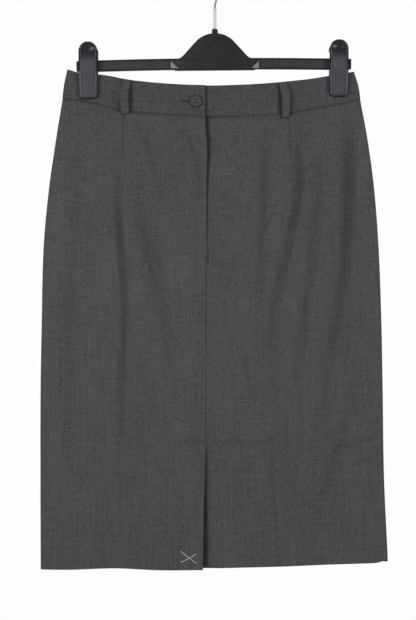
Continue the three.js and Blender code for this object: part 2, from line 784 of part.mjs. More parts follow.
function jawSolid(clip, facing) {
  const [x, top] = [CLIP_X[clip], CLIP_TOP_Z[clip]];
  const profile = (rows) =>
    new THREE.Shape(rows.map(([y, drop]) => new THREE.Vector2(y, top - drop)));
  const sweep = (rows, low, high) =>
    new THREE.ExtrudeGeometry(profile(rows), { depth: high - low, bevelEnabled: false })
      .rotateX(Math.PI / 2)
      .rotateZ(Math.PI / 2)
      .translate(low, 0, 0);
  const shell = [
    ...JAW.map((row) => [row.outer, row.drop]),
    ...[...JAW].reverse().map((row) => [row.inner, row.drop]),
  ];
  const meet = -SEAM_GAP / 2;
  const barTop = top - BAR_TOP - barRise(x) - SEAM_GAP - CHEEK_PLAY;
  const barFace = -BAR_DEPTH / 2 - SEAM_GAP;
  const cheek = [
    [-12, CHEEK.top],
    [meet, CHEEK.top + 2],
    [meet, barTop],
    [barFace, barTop],
    [barFace, CHEEK.foot],
    [-10, CHEEK.foot],
  ];
  const half = CLIP_WIDTH / 2;
  const jaw = solid(sweep(shell, x - half - 1, x + half + 1))
    .intersect(solid(plate(jawOutline(x, top), JAW_ROOM)))
    .add(solid(sweep(cheek, x - half + 0.1, x - half + 0.1 + CHEEK.thick)))
    .add(solid(sweep(cheek, x + half - 0.1 - CHEEK.thick, x + half - 0.1)));
  return facing === FRONT ? jaw : jaw.mirror([0, 1, 0]);
}

// The steel spring between the cheeks: a coil across the clip over the bar.
const COIL = {
  radius: 4.2,
  bore: 2.4,
  half: CLIP_WIDTH / 2 - 0.1 - CHEEK.thick - SEAM_GAP, // held between the cheeks
  drop: 17.4,
};
const clipNames = ["right", "left"];
for (const clip of [0, 1]) {
  for (const facing of [FRONT, BACK]) {
    const name = `clip_${clipNames[clip]}_${facing === FRONT ? "front" : "back"}_jaw`;
    add(hanger, name, surface(jawSolid(clip, facing)), blackPlastic);
  }
  const coil = new THREE.LatheGeometry(
    [
      new THREE.Vector2(COIL.bore, -COIL.half),
      new THREE.Vector2(COIL.radius, -COIL.half),
      new THREE.Vector2(COIL.radius, COIL.half),
      new THREE.Vector2(COIL.bore, COIL.half),
      new THREE.Vector2(COIL.bore, -COIL.half),
    ],
    16,
  );
  const spring = add(hanger, `clip_${clipNames[clip]}_spring`, coil, steel);
  spring.rotation.z = Math.PI / 2;
  spring.position.set(CLIP_X[clip], 0, CLIP_TOP_Z[clip] - COIL.drop);
}

const whole = new THREE.Group();
whole.add(skirt, hanger);

export default whole;
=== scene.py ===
import math
import bmesh
import bpy
import numpy as np
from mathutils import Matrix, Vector


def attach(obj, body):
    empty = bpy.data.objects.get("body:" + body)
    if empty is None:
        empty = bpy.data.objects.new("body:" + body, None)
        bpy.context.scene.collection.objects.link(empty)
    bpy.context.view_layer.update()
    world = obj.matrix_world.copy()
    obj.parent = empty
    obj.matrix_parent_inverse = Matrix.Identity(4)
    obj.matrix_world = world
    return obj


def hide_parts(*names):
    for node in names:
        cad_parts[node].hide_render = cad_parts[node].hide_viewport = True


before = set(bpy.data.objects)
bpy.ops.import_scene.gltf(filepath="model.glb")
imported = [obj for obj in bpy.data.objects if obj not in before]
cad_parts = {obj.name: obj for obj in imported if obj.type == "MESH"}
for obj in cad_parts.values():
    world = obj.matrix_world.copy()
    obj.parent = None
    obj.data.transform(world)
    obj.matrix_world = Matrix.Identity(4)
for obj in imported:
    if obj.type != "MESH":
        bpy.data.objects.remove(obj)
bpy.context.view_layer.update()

# The wearer's right front
# One panel of wool suiting, cut with a waist dart and sewn to the back at the side seam. Its
# folded centre edge laps over the left front: over the zip, as a seam below it, then as a vent.
# Lengths are in millimetres until they become a mesh.
MILLIMETRE = 0.001
FRONT, BACK = -1, 1
BAND_HEIGHT = 41.0
SKIRT_LENGTH = 628.0
# Pieces lie SEAM_GAP apart, but sewn seams are drawn almost closed, so no light shows through
SEAM_GAP, DRAWN_GAP = 0.3, 0.06
SIDE_ROLL = 4.0
WAIST_CENTRE_Z, WAIST_SAG, WAIST_HALF = -162.8, 20.0, 190.0
HEM_CENTRE_Z, HEM_TILT = -791.2, 0.0222
HEM_FROM = 480.0
LIFT_FROM, LIFT_END, WAIST_LIFT_END = 8.0, 150.0, 30.0
CLIP_X = (-165.6, 162.2)
CLIP_WIDTH = 25.0
GRIPPED = 2.0
GRIP_BESIDE, GRIP_ACROSS, GRIP_ABOVE, GRIP_BELOW = 9.0, 46.0, 4.0, 95.0
CLOTH = 1.2
SWELL_POWER, FOLD_FADE, RIPPLE_END = 1.1, 30.0, 90.0

# Outline and fullness of the hanging tube. down is the distance below the waist edge.
SECTIONS = np.array([
    # down, left, right, front swell, back swell
    (0, -192.8, 182.0, 8, 9),
    (20, -197.0, 187.7, 10, 11),
    (41, -199.5, 190.6, 12, 14),
    (92, -208.0, 200.2, 19, 23),
    (152, -217.1, 208.6, 25, 31),
    (229, -224.5, 214.7, 29, 35),
    (320, -226.9, 218.3, 30, 35),
    (411, -228.5, 220.1, 29, 33),
    (518, -228.6, 221.8, 28, 31),
    (628, -228.3, 226.8, 29, 32),
])
DOWN, LEFT, RIGHT, FRONT_SWELL, BACK_SWELL = range(5)
# How far the seam under the band is drawn up at x, by the clips, or sags, by a loop
SEAM_LIFT = np.array([
    # x, lift
    (-192, 3.1), (-164, 4.6), (-141, 2.6), (-129, 0.2), (-122, -2.2), (-106, -0.2), (60, -0.5),
    (82, -1.2), (99, -0.9), (121, 1.5), (150, 2.6), (186, 3.4),
])
# How far the clips pull the waist edge up beside them
WAIST_LIFT = np.array([
    # x, lift
    (-193, 1.2), (-178, 0), (-160, 1.5), (-150, 2.4), (-136, 2.6), (-122, 1.2), (-105, 0.3), (0, 0),
    (120, 0.3), (140, 0.9), (155, 0.8), (180, 0.5),
])

# Each fold runs down through the points (x, down). depth is a trough's, and minus is a ridge.
# It is deepest at peak, and painted shade is how much darker its bottom is painted there, where shade
# falls.
LONG_FOLDS = (
    # side, x, down, peak, depth, painted shade, half width
    (FRONT, (-128, -125.5, -120.3, -117.7, -117.7, -121.6, -124), (120, 178, 233, 284, 322, 411, 560),
     200, 4.4, 0.32, 4.6),
    (FRONT, (-104, -95.7, -84.1, -73.7, -63.3, -52), (90, 180, 218, 269, 320, 420), 235, 3.8, 0.17, 9),
    (FRONT, (-106, -89.2, -71.1, -60), (48, 77, 140, 180), 80, 1.4, 0.16, 4),
    (FRONT, (-42.6, -24.5, -21.9, -22), (43, 99, 138, 180), 88, 1.4, 0.2, 4),
    (FRONT, (-27, -24.5, -21.9, -21), (206, 222, 248, 264), 236, 0.7, 0.1, 2.2),
    (FRONT, (-181, -187, -192.9, -191), (48, 230, 400, 540), 340, 2.2, 0.1, 9),
    (FRONT, (-150, -152, -148), (110, 230, 420), 260, -1.6, 0, 12),
    (FRONT, (-106, -98, -92), (170, 250, 360), 255, -1.4, 0, 8),
    (FRONT, (64.9, 63.6, 61.1, 61.1), (42, 153, 217, 350), 130, 2.2, 0.22, 4.6),
    (FRONT, (104, 110.3, 109, 101.2, 89.6, 80.5, 75.3, 75), (62, 112, 150, 188, 245, 283, 322, 430),
     140, 4.8, 0.31, 6.2),
    (FRONT, (137, 133.6, 128.4, 120.7, 112.9, 105.1, 97.3, 84), (80, 159, 223, 286, 350, 388, 426, 456),
     200, 3.6, 0.19, 6.8),
    (FRONT, (175, 175.1, 173.8, 168.6, 162.1, 154.3, 145.3, 130), (44, 140, 190, 253, 303, 353, 403, 490),
     125, 5.8, 0.3, 8),
    (FRONT, (196, 184.1, 168.6, 149.2, 136.2, 128), (340, 394, 456, 518, 556, 600), 510, 2.2, 0.15, 8),
    (FRONT, (71, 72.7, 75.3, 77.9, 80.5, 82), (458, 471, 515, 567, 616, 760), 500, 1.2, 0.2, 2.4),
    (BACK, (-112, -104, -96), (60, 240, 520), 230, 5.4, 0.3, 9),
    (BACK, (104, 112, 120), (60, 220, 480), 200, 4.6, 0.28, 9),
    (BACK, (-170, -172, -150), (50, 230, 450), 180, 3.6, 0.24, 8),
    (BACK, (168, 160, 132), (60, 260, 540), 220, 3.6, 0.24, 9),
    (BACK, (-30, -24, -40), (90, 240, 400), 220, 2.0, 0.1, 9),
    (BACK, (40, 36, 52), (120, 300, 470), 280, 1.8, 0.1, 9),
)
# Each crease runs across through the points (x, down)
CROSS_CREASES = (
    # side, x, down, depth, painted shade, half width
    (FRONT, (-50, -12.8, 32.5, 68.8, 84.4, 100), (471, 465, 466, 465, 454, 434), 1.0, 0.12, 3.8),
    (FRONT, (146, 168.6, 190, 211.3, 219), (482, 478, 473, 468, 466), 1.0, 0.15, 3.2),
    (FRONT, (168, 181.5, 203.6, 212), (503, 501, 496, 495), 0.6, 0.18, 3),
    (FRONT, (-14, 0, 22.2, 36), (231, 232, 237, 241), 0.9, 0.16, 3.6),
    (FRONT, (-14, 0, 13.1, 22), (564, 560, 550, 545), 0.6, 0.06, 5),
    (BACK, (-60, 0, 70), (210, 216, 206), 0.9, 0.08, 7),
)
# Each waist dart is sewn from the band down to its point
DARTS = (
    # side, x at the band, x at the point, down at the point
    (FRONT, -119.6, -119.8, 116),
    (FRONT, 96.5, 99.8, 113),
    (BACK, -97, -101, 150),
    (BACK, 94, 98, 150),
)
# Each dart's sewn line is darkened by painted shade along its groove
DART_DEPTH, DART_PAINTED_SHADE, DART_HALF_WIDTH, DART_FADE = 1.0, 0.28, 0.8, 30.0
CREASE_FADE, FOLD_ROOT = 14.0, 0.6


def cubic(at, places, values):
    """Cubic curve through values at rising places. Each slope is the chord of its neighbours."""
    places, values = np.asarray(places, float), np.asarray(values, float)
    i = np.clip(np.searchsorted(places, at, side="right") - 1, 0, len(places) - 2)
    before, after = np.maximum(i - 1, 0), np.minimum(i + 2, len(places) - 1)
    span = places[i + 1] - places[i]
    slope_a = (values[i + 1] - values[before]) / (places[i + 1] - places[before]) * span
    slope_b = (values[after] - values[i]) / (places[after] - places[i]) * span
    f = np.clip((at - places[i]) / span, 0, 1)
    return (
        (2 * f**3 - 3 * f**2 + 1) * values[i]
        + (f**3 - 2 * f**2 + f) * slope_a
        + (3 * f**2 - 2 * f**3) * values[i + 1]
        + (f**3 - f**2) * slope_b
    )


def smooth(value, low, high):
    """Goes from 0 at low to 1 at high, level at both ends: 3f^2 - 2f^3."""
    f = np.clip((value - low) / (high - low), 0, 1)
    return f * f * (3 - 2 * f)


def bell(distance, half_width):
    """1 at distance 0, falling off on both sides: e^-(distance / half width)^2."""
    return np.exp(-((distance / half_width) ** 2))


def section(down, column):
    return cubic(down, SECTIONS[:, DOWN], SECTIONS[:, column])


def height(x, down):
    """The sagging waist line in the band, evening out below it into the straight hem. The waist
    edge and the band's seam are drawn up by their lifts, which fade out above and below them."""
    row = WAIST_CENTRE_Z + WAIST_SAG * (x / WAIST_HALF) ** 2 - np.minimum(down, BAND_HEIGHT)
    share = np.clip((down - BAND_HEIGHT) / (SKIRT_LENGTH - BAND_HEIGHT), 0, 1)
    drawn = smooth(down, LIFT_FROM, BAND_HEIGHT) * (1 - smooth(down, BAND_HEIGHT, LIFT_END))
    lift = cubic(x, *SEAM_LIFT.T) * drawn
    lift = lift + cubic(x, *WAIST_LIFT.T) * (1 - smooth(down, 0, WAIST_LIFT_END))
    return row + (HEM_CENTRE_Z + HEM_TILT * x - row) * share + lift


def folds(side, x, down):
    """Sums over the folds, creases and darts of their depth and of their painted shade, the darker
    colour painted into their bottoms. Each is a bell across its path that fades in and out along it,
    and a fold's fade is a root of the smooth curve, so that it starts quickly."""
    found = []
    for fold_side, xs, downs, peak, depth, painted_shade, wide in LONG_FOLDS:
        if fold_side == side:
            run = smooth(down, downs[0], peak) * (1 - smooth(down, peak, downs[-1]))
            found.append((depth, painted_shade, run**FOLD_ROOT * bell(x - cubic(down, downs, xs), wide)))
    for fold_side, xs, downs, depth, painted_shade, wide in CROSS_CREASES:
        if fold_side == side:
            run = smooth(x, xs[0], xs[0] + CREASE_FADE) * (1 - smooth(x, xs[-1] - CREASE_FADE, xs[-1]))
            found.append((depth, painted_shade, run * bell(down - cubic(x, xs, downs), wide)))
    for dart_side, top_x, point_x, point in DARTS:
        if dart_side == side:
            path = top_x + (point_x - top_x) * (down - BAND_HEIGHT) / (point - BAND_HEIGHT)
            sewn = smooth(down, BAND_HEIGHT - 1, BAND_HEIGHT)
            sewn = sewn * (1 - smooth(down, point - DART_FADE, point))
            found.append((DART_DEPTH, DART_PAINTED_SHADE, sewn * bell(x - path, DART_HALF_WIDTH)))
    depths = sum(depth * part for depth, _, part in found)
    return depths, sum(painted_shade * part for _, painted_shade, part in found)


def ripple(side, x, down):
    """Slight unevenness of hung cloth: three long sine waves that cross at odd angles."""
    a = np.sin(x / 23.0 + down / 91.0 + side)
    b = np.sin(x / 41.0 - down / 57.0 + 2.1 * side)
    c = np.sin(x / 13.0 + down / 150.0 + 0.7)
    return 0.2 * a + 0.25 * b + 0.08 * c


def grip(x, down):
    """1 where a clip's jaws hold the sides together, fading across and downwards."""
    held = np.zeros_like(x)
    for clip_x in CLIP_X:
        beside = np.abs(x - clip_x) - CLIP_WIDTH / 2
        across = 1 - smooth(beside, GRIP_BESIDE, GRIP_ACROSS)
        below = smooth(down, BAND_HEIGHT - GRIP_ABOVE, BAND_HEIGHT + GRIP_BELOW)
        held = np.maximum(held, across * (1 - below))
    return held


def girth(down):
    """Length over one side of the tube, from seam to seam, with both rolled edges."""
    return section(down, RIGHT) - section(down, LEFT) + (math.pi - 2) * SIDE_ROLL


def share_at(x, down):
    """Share of the girth, from the left seam, at which the tube passes x."""
    return (x - section(down, LEFT) + (math.pi / 2 - 1) * SIDE_ROLL) / girth(down)


# The pressed line beside each side seam, and from where to where it deepens
SEAM_LINE_IN, SEAM_LINE_DEPTH, SEAM_LINE_HALF = 4.2, 0.5, 0.7
SEAM_LINE_FROM, SEAM_LINE_TO = 90.0, 200.0


def skin(side, share, down):
    """Outer face of the tube: a quarter circle at each side seam, then the swell, which is
    (1 - off^2)^1.1 across, less the folds, the ripple and the pressed seam line. All of it is
    squeezed to the gripped thickness at the clips."""
    left, right, whole = section(down, LEFT), section(down, RIGHT), girth(down)
    from_seam = np.minimum(share, 1 - share) * whole
    quarter = SIDE_ROLL * math.pi / 2
    turn = np.clip(from_seam, 0, quarter) / SIDE_ROLL
    inset = SIDE_ROLL * (1 - np.cos(turn)) + np.maximum(from_seam - quarter, 0)
    rolled = SIDE_ROLL * np.sin(turn)
    x = np.where(share < 0.5, left + inset, right - inset)
    off = (2 * x - left - right) / (right - left)
    swell = section(down, FRONT_SWELL if side == FRONT else BACK_SWELL)
    swell = swell * np.maximum(1 - off * off, 0) ** SWELL_POWER
    uneven = folds(side, x, down)[0] + ripple(side, x, down) * smooth(down, 0, RIPPLE_END)
    full = rolled + swell - uneven * smooth(inset, 0, FOLD_FADE)
    held = grip(x, down)
    depth = full * (1 - held) + np.minimum(rolled, GRIPPED) * held
    pressed = bell(from_seam - SEAM_LINE_IN, SEAM_LINE_HALF)
    pressed = pressed * smooth(down, SEAM_LINE_FROM, SEAM_LINE_TO)
    depth = depth - SEAM_LINE_DEPTH * pressed
    return np.stack([x, side * (DRAWN_GAP / 2 + depth), height(x, down)], axis=-1)


def unit(vectors):
    return vectors / np.linalg.norm(vectors, axis=-1, keepdims=True)


def outward(side, points):
    """Unit normals of a grid of skin points, from the differences along its rows and columns."""
    return unit(np.cross(np.gradient(points, axis=0), np.gradient(points, axis=1)) * -side)


def shell(outer, inner):
    """Points and faces of a closed shell whose two faces share the points of their rim."""
    rows, columns = outer.shape[:2]
    front = np.arange(rows * columns).reshape(rows, columns)
    back = front.copy()
    count = (rows - 2) * (columns - 2)
    back[1:-1, 1:-1] = rows * columns + np.arange(count).reshape(rows - 2, columns - 2)
    faces = [
        np.stack([grid[:-1, :-1], grid[1:, :-1], grid[1:, 1:], grid[:-1, 1:]], axis=-1).reshape(-1, 4)
        for grid in (front, back)
    ]
    points = np.concatenate([outer.reshape(-1, 3), inner[1:-1, 1:-1].reshape(-1, 3)])
    return points, [faces[0], faces[1][:, ::-1]]


def to_mesh(name, surface, material, sharp=None):
    """A piece from points in millimetres and blocks of faces, with its faces turned outwards."""
    points, blocks = surface
    mesh = bpy.data.meshes.new(name)
    faces = [face for block in blocks for face in block.tolist()]
    mesh.from_pydata((points.reshape(-1, 3) * MILLIMETRE).tolist(), [], faces)
    turned = bmesh.new()
    turned.from_mesh(mesh)
    bmesh.ops.recalc_face_normals(turned, faces=turned.faces)
    turned.to_mesh(mesh)
    turned.free()
    mesh.polygons.foreach_set("use_smooth", np.ones(len(mesh.polygons), bool))
    if sharp is not None:
        mesh.set_sharp_from_angle(angle=math.radians(sharp))
    mesh.materials.append(material)
    mesh.update()
    piece = bpy.data.objects.new(name, mesh)
    bpy.context.scene.collection.objects.link(piece)
    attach(piece, "root")
    return piece


def mark(piece, name, values):
    """Stores a value for each of a piece's first points, which its material reads, and 0 for
    the others."""
    marks = np.zeros(len(piece.data.vertices), np.float32)
    marks[:len(values)] = values
    piece.data.attributes.new(name, "FLOAT", "POINT").data.foreach_set("value", marks)


def uneven_steps(length, spacing, close):
    """Places along a length, a spacing apart, or nearer in the close stretches (from, to, step).
    They are where the running sum of 1 / step passes evenly spaced numbers."""
    fine = np.linspace(0, length, 6001)
    step = np.full_like(fine, spacing)
    for start, stop, near in close:
        step = np.where((fine >= start) & (fine <= stop), np.minimum(step, near), step)
    passed = np.concatenate([[0], np.cumsum(2 / (step[1:] + step[:-1]))]) * fine[1]
    return np.interp(np.linspace(0, passed[-1], math.ceil(passed[-1]) + 1), passed, fine)


def rim_stretches(length, rim):
    """Five steps over the rounded rim at each end."""
    return [(0, rim, rim / 5), (length - rim, length, rim / 5)]


DART_CLEAR, DART_STEP = 4.0, 0.6


def dart_stretches(side, start, stop, wide):
    """Closer steps across the darts that this piece of cloth holds."""
    found = []
    for dart_side, top_x, point_x, point in DARTS:
        x, down = np.array([top_x, point_x]), np.array([BAND_HEIGHT, point])
        at = (share_at(x, down) - start(down)) / (stop(down) - start(down)) * wide
        if dart_side == side and at.min() > 0 and at.max() < wide:
            found.append((at.min() - DART_CLEAR, at.max() + DART_CLEAR, DART_STEP))
    return found


def rounding(steps, rim):
    """Half circle's height over the rim, from 0 at both ends to 1: sqrt(1 - (1 - e/rim)^2)."""
    near = np.clip(np.minimum(steps - steps[0], steps[-1] - steps) / rim, 0, 1)
    return np.sqrt(1 - (1 - near) ** 2)


def cloth(name, side, start, stop, top, foot, depth, thick, rim, spacing, material, close=(), hem=None,
          edges=(), dark=None):
    """A closed layer of cloth on the skin, between two shares of the girth and two heights.
    Its middle lies at depth(x, down) inside the skin, and its thickness rounds off at the rim.
    hem holds places x and how much higher the hem hangs there. edges holds, for an edge, how far
    in its painted shade reaches and how strong it is. dark(x, down) is further painted shade, and
    painted light where it is below 0."""
    downs = top + uneven_steps(foot - top, spacing[1], rim_stretches(foot - top, rim))
    wide = float(np.max((stop(downs) - start(downs)) * girth(downs)))
    stretches = rim_stretches(wide, rim) + list(close)
    if foot > SKIRT_LENGTH / 2:
        stretches += dart_stretches(side, start, stop, wide)
    across = uneven_steps(wide, spacing[0], stretches)
    down = np.repeat(downs[:, None], len(across), axis=1)
    share = start(down) + (stop(down) - start(down)) * across[None, :] / wide
    points = skin(side, share, down)
    if hem:
        places, lifts = zip(*hem)
        points[..., 2] += cubic(points[..., 0], places, lifts) * smooth(down, HEM_FROM, SKIRT_LENGTH)
    normal = outward(side, points)
    half = thick / 2 * rounding(downs, rim)[:, None, None] * rounding(across, rim)[None, :, None]
    middle = points - normal * depth(points[..., 0], down)[..., None]
    surface = shell(middle + normal * half, middle - normal * half)
    piece = to_mesh(name, surface, material)
    # Painted shade: the colour is painted darker in the fold bottoms, along the given edges and as dark
    # says
    painted_shade = folds(side, points[..., 0], down)[1]
    inward = {"left": across[None, :], "right": wide - across[None, :],
              "top": downs[:, None] - top, "foot": foot - downs[:, None]}
    for edge, reach, strong in edges:
        painted_shade = painted_shade + strong * bell(inward[edge], reach)
    if dark:
        painted_shade = painted_shade + dark(points[..., 0], down)
    mark(piece, "painted_shade", painted_shade.ravel())
    return piece


def nodes_of(name):
    material = bpy.data.materials.new(name)
    material.use_nodes = True
    tree = material.node_tree
    return material, tree, tree.nodes["Principled BSDF"]


def place(tree, scale=(1, 1, 1), turn=(0, 0, 0)):
    """Places in the piece's own space, scaled and turned."""
    coordinates = tree.nodes.new("ShaderNodeTexCoord")
    mapping = tree.nodes.new("ShaderNodeMapping")
    mapping.inputs["Scale"].default_value = scale
    mapping.inputs["Rotation"].default_value = turn
    tree.links.new(coordinates.outputs["Object"], mapping.inputs["Vector"])
    return mapping.outputs["Vector"]


def noise(tree, coordinates, scale, detail=2.0, roughness=0.5):
    node = tree.nodes.new("ShaderNodeTexNoise")
    node.inputs["Scale"].default_value = scale
    node.inputs["Detail"].default_value = detail
    node.inputs["Roughness"].default_value = roughness
    tree.links.new(coordinates, node.inputs["Vector"])
    return node.outputs["Fac"]


def remap(tree, value, low, high, out_low=0.0, out_high=1.0):
    node = tree.nodes.new("ShaderNodeMapRange")
    limits = {"From Min": low, "From Max": high, "To Min": out_low, "To Max": out_high}
    for key, number in limits.items():
        node.inputs[key].default_value = number
    tree.links.new(value, node.inputs["Value"])
    return node.outputs["Result"]


def combine(tree, operation, a, b):
    node = tree.nodes.new("ShaderNodeMath")
    node.operation = operation
    for socket, value in zip(node.inputs, (a, b)):
        if isinstance(value, (int, float)):
            socket.default_value = value
        else:
            tree.links.new(value, socket)
    return node.outputs[0]


def blend_of(tree, *shares):
    """Weighted sum of values, from pairs of a weight and a value."""
    total = combine(tree, "MULTIPLY", shares[0][1], shares[0][0])
    for weight, value in shares[1:]:
        total = combine(tree, "ADD", total, combine(tree, "MULTIPLY", value, weight))
    return total


def marked(tree, name):
    """The value that mark stored on the piece's points."""
    node = tree.nodes.new("ShaderNodeAttribute")
    node.attribute_name = name
    return node.outputs["Fac"]


def tint(tree, factor, dark, light):
    node = tree.nodes.new("ShaderNodeMix")
    node.data_type = "RGBA"
    node.inputs["A"].default_value = (*dark, 1)
    node.inputs["B"].default_value = (*light, 1)
    tree.links.new(factor, node.inputs["Factor"])
    return node.outputs["Result"]


def dress(tree, shader, colour, rough, grain, strength, distance):
    """Gives the shader its colour, its roughness, which is a number or a value, and its grain,
    which stands out by a share of the distance in metres."""
    tree.links.new(colour, shader.inputs["Base Color"])
    if isinstance(rough, float):
        shader.inputs["Roughness"].default_value = rough
    else:
        tree.links.new(rough, shader.inputs["Roughness"])
    node = tree.nodes.new("ShaderNodeBump")
    node.inputs["Strength"].default_value = strength
    node.inputs["Distance"].default_value = distance
    tree.links.new(grain, node.inputs["Height"])
    tree.links.new(node.outputs["Normal"], shader.inputs["Normal"])


TWILL_TURN = math.radians(27)


def wool(name, dark, light):
    """A fine twill of mixed light and dark grey yarns, brushed a little, so that it looks
    heathered. It is darker by the painted shade that its pieces' points hold."""
    material, tree, shader = nodes_of(name)
    even = place(tree)
    fibres = noise(tree, place(tree, (1, 1, 0.85)), 1500, 2, 0.75)
    clumps = noise(tree, even, 420, 1)
    warp = noise(tree, place(tree, (1, 1, 0.03)), 620, 2)
    weft = noise(tree, place(tree, (0.05, 0.05, 1)), 700, 2)
    patches = noise(tree, place(tree, (1, 1, 0.3)), 26, 2)
    twill = tree.nodes.new("ShaderNodeTexWave")
    twill.bands_direction = "X"
    twill.inputs["Scale"].default_value = 520
    twill.inputs["Distortion"].default_value = 1.2
    tree.links.new(place(tree, turn=(0, TWILL_TURN, 0)), twill.inputs["Vector"])
    lines = twill.outputs["Fac"]
    mixed = blend_of(tree, (0.7, fibres), (0.03, clumps), (0.1, warp), (0.08, weft), (0.04, patches),
                     (0.05, lines))
    # The painted shade held on the points is taken off the colour's mix
    factor = combine(tree, "SUBTRACT", remap(tree, mixed, 0.42, 0.58), marked(tree, "painted_shade"))
    raised = blend_of(tree, (1.0, fibres), (0.6, lines))
    dress(tree, shader, tint(tree, factor, dark, light), 0.93, raised, 0.35, 0.0003)
    shader.inputs["Sheen Weight"].default_value = 0.12
    shader.inputs["Sheen Roughness"].default_value = 0.5
    shader.inputs["Specular IOR Level"].default_value = 0.18
    return material


suiting = wool("wool_suiting", (0.026, 0.0258, 0.0258), (0.112, 0.11, 0.11))

PANEL_TOP = BAND_HEIGHT + DRAWN_GAP
PANEL_RIM = 0.8
PANEL_SPACING = (2.3, 3.2)
FLY_END, VENT_TOP = 234.0, 474.0
# The lap's free edge
LAP_EDGE = np.array([
    # down, x
    (0, -12.3), (41, -12.5), (86, -9.9), (120, -10.6), (234, -11.1), (346, -11.5), (474, -11.8),
    (545, -14.2), (628, -15.4),
])


def lap_x(down):
    return cubic(down, *LAP_EDGE.T)


def lap_share(down):
    return share_at(lap_x(down), down)


def left_seam(down):
    return np.zeros_like(down)


def right_seam(down):
    return np.ones_like(down)


# Painted shade along the cloth's top, where it turns in under the band: edge, how far in, how strong
TOP_PAINTED_SHADE = [("top", 1.4, 0.35)]
# Closer steps over the side seam's roll: from, to, step
SEAM_STEPS = [(0, 9, 0.6)]
RIGHT_HEM = (
    # x, how much higher the hem hangs
    (-226, 0.2), (-193, 0), (-130, 2.1), (-71, -0.7), (-16.7, -1.0),
)
VENT_LIFT, VENT_LIFT_WIDE = 1.6, 16.0


def right_front_depth(x, down):
    """Half the cloth's thickness in, less a slight lift along the free edge of the vent."""
    lift = VENT_LIFT * bell(x - lap_x(down), VENT_LIFT_WIDE)
    return CLOTH / 2 - lift * smooth(down, VENT_TOP - 10, SKIRT_LENGTH)


right_front = cloth(
    "right_front", FRONT, left_seam, lap_share, PANEL_TOP, SKIRT_LENGTH,
    right_front_depth, CLOTH, PANEL_RIM, PANEL_SPACING, suiting, SEAM_STEPS, RIGHT_HEM, TOP_PAINTED_SHADE,
)
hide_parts("front_right_panel")

# The wearer's left front
# One panel of suiting that passes behind the lap: as a fly shield beside the zip, as a seam
# allowance below it, and as the underlap of the vent down to the hem.
SLIDER_FADE = (66.0, 86.0)
SLIDER_DEPTH, FLY_DEPTH, ALLOWANCE_DEPTH, VENT_DEPTH = 4.0, 2.8, CLOTH + SEAM_GAP, 4.5
SHIELD_WIDTH, ALLOWANCE_WIDTH, VENT_WIDTH = 38.0, 15.0, 42.0
RISE_NARROW = 1.0
# How far past the lap's edge the left front stays behind, and over what run it then comes forward
LAP_GAPS = np.array([
    # down, clear, run
    (0, 1.2, 55),
    (41, 2.0, 45),
    (70, 2.6, 34),
    (150, 1.0, 20),
    (234, 0.4, 14),
    (466, 0.3, 14),
    (500, 1.2, 20),
    (560, 2.6, 24),
    (628, 2.6, 24),
])


def past_fly(down):
    """0 above the foot of the fly and 1 below it."""
    return smooth(down, FLY_END - 4, FLY_END + 8)


def past_seam(down):
    """0 above the top of the vent and 1 below it."""
    return smooth(down, VENT_TOP - 8, VENT_TOP + 4)


def under_depth(down):
    """Deepest under the slider, less at the zip, least at the plain seam, then the open vent."""
    zip_part = SLIDER_DEPTH + (FLY_DEPTH - SLIDER_DEPTH) * smooth(down, *SLIDER_FADE)
    seam_part = (ALLOWANCE_DEPTH - FLY_DEPTH) * past_fly(down)
    vent_part = (VENT_DEPTH - ALLOWANCE_DEPTH) * smooth(down, VENT_TOP - 8, SKIRT_LENGTH - 20)
    return zip_part + seam_part + vent_part


def under_width(down):
    """The fly shield's width, then the seam allowance's, then the vent underlap's."""
    fly_part = (ALLOWANCE_WIDTH - SHIELD_WIDTH) * past_fly(down)
    return SHIELD_WIDTH + fly_part + (VENT_WIDTH - ALLOWANCE_WIDTH) * past_seam(down)


def under_share(down):
    return share_at(lap_x(down) - under_width(down), down)


def left_face(x, down):
    """Depth of the panel's face: all the way under the lap, then rising over a short run."""
    seamed = past_fly(down) * (1 - past_seam(down))
    clear, run = [cubic(down, LAP_GAPS[:, 0], LAP_GAPS[:, column]) for column in (1, 2)]
    run = run + (RISE_NARROW - run) * seamed
    return under_depth(down) * (1 - smooth(x - lap_x(down) - clear, 0, run))


def left_front_depth(x, down):
    return left_face(x, down) + CLOTH / 2


# Painted shadow beside the lap's edge and how far it reaches; along the plain seam it is painted light
LAP_PAINTED_SHADING = np.array([
    # down, painted shading (below 0 it is painted light), reach
    (0, 0.6, 2.2),
    (40, 0.8, 2.6),
    (42, 0.9, 4.0),
    (75, 1.1, 4.4),
    (115, 1.0, 2.4),
    (140, 0.6, 1.4),
    (175, 0.3, 1.0),
    (205, -0.2, 1.2),
    (240, -0.4, 1.2),
    (466, -0.4, 1.2),
    (478, 0.6, 1.8),
    (520, 1.0, 4.0),
    (628, 1.1, 5.5),
])


# Painted shadow beside the lap's edge, and painted light along the plain seam where the shading is below
# 0
def lap_painted_shading(x, down):
    painted_shade, reach = [np.interp(down, LAP_PAINTED_SHADING[:, 0], LAP_PAINTED_SHADING[:, column]) for column in (1, 2)]
    return painted_shade * bell(np.maximum(x - lap_x(down) - 0.5, 0), reach)


SEAM_SIDE = 286.0
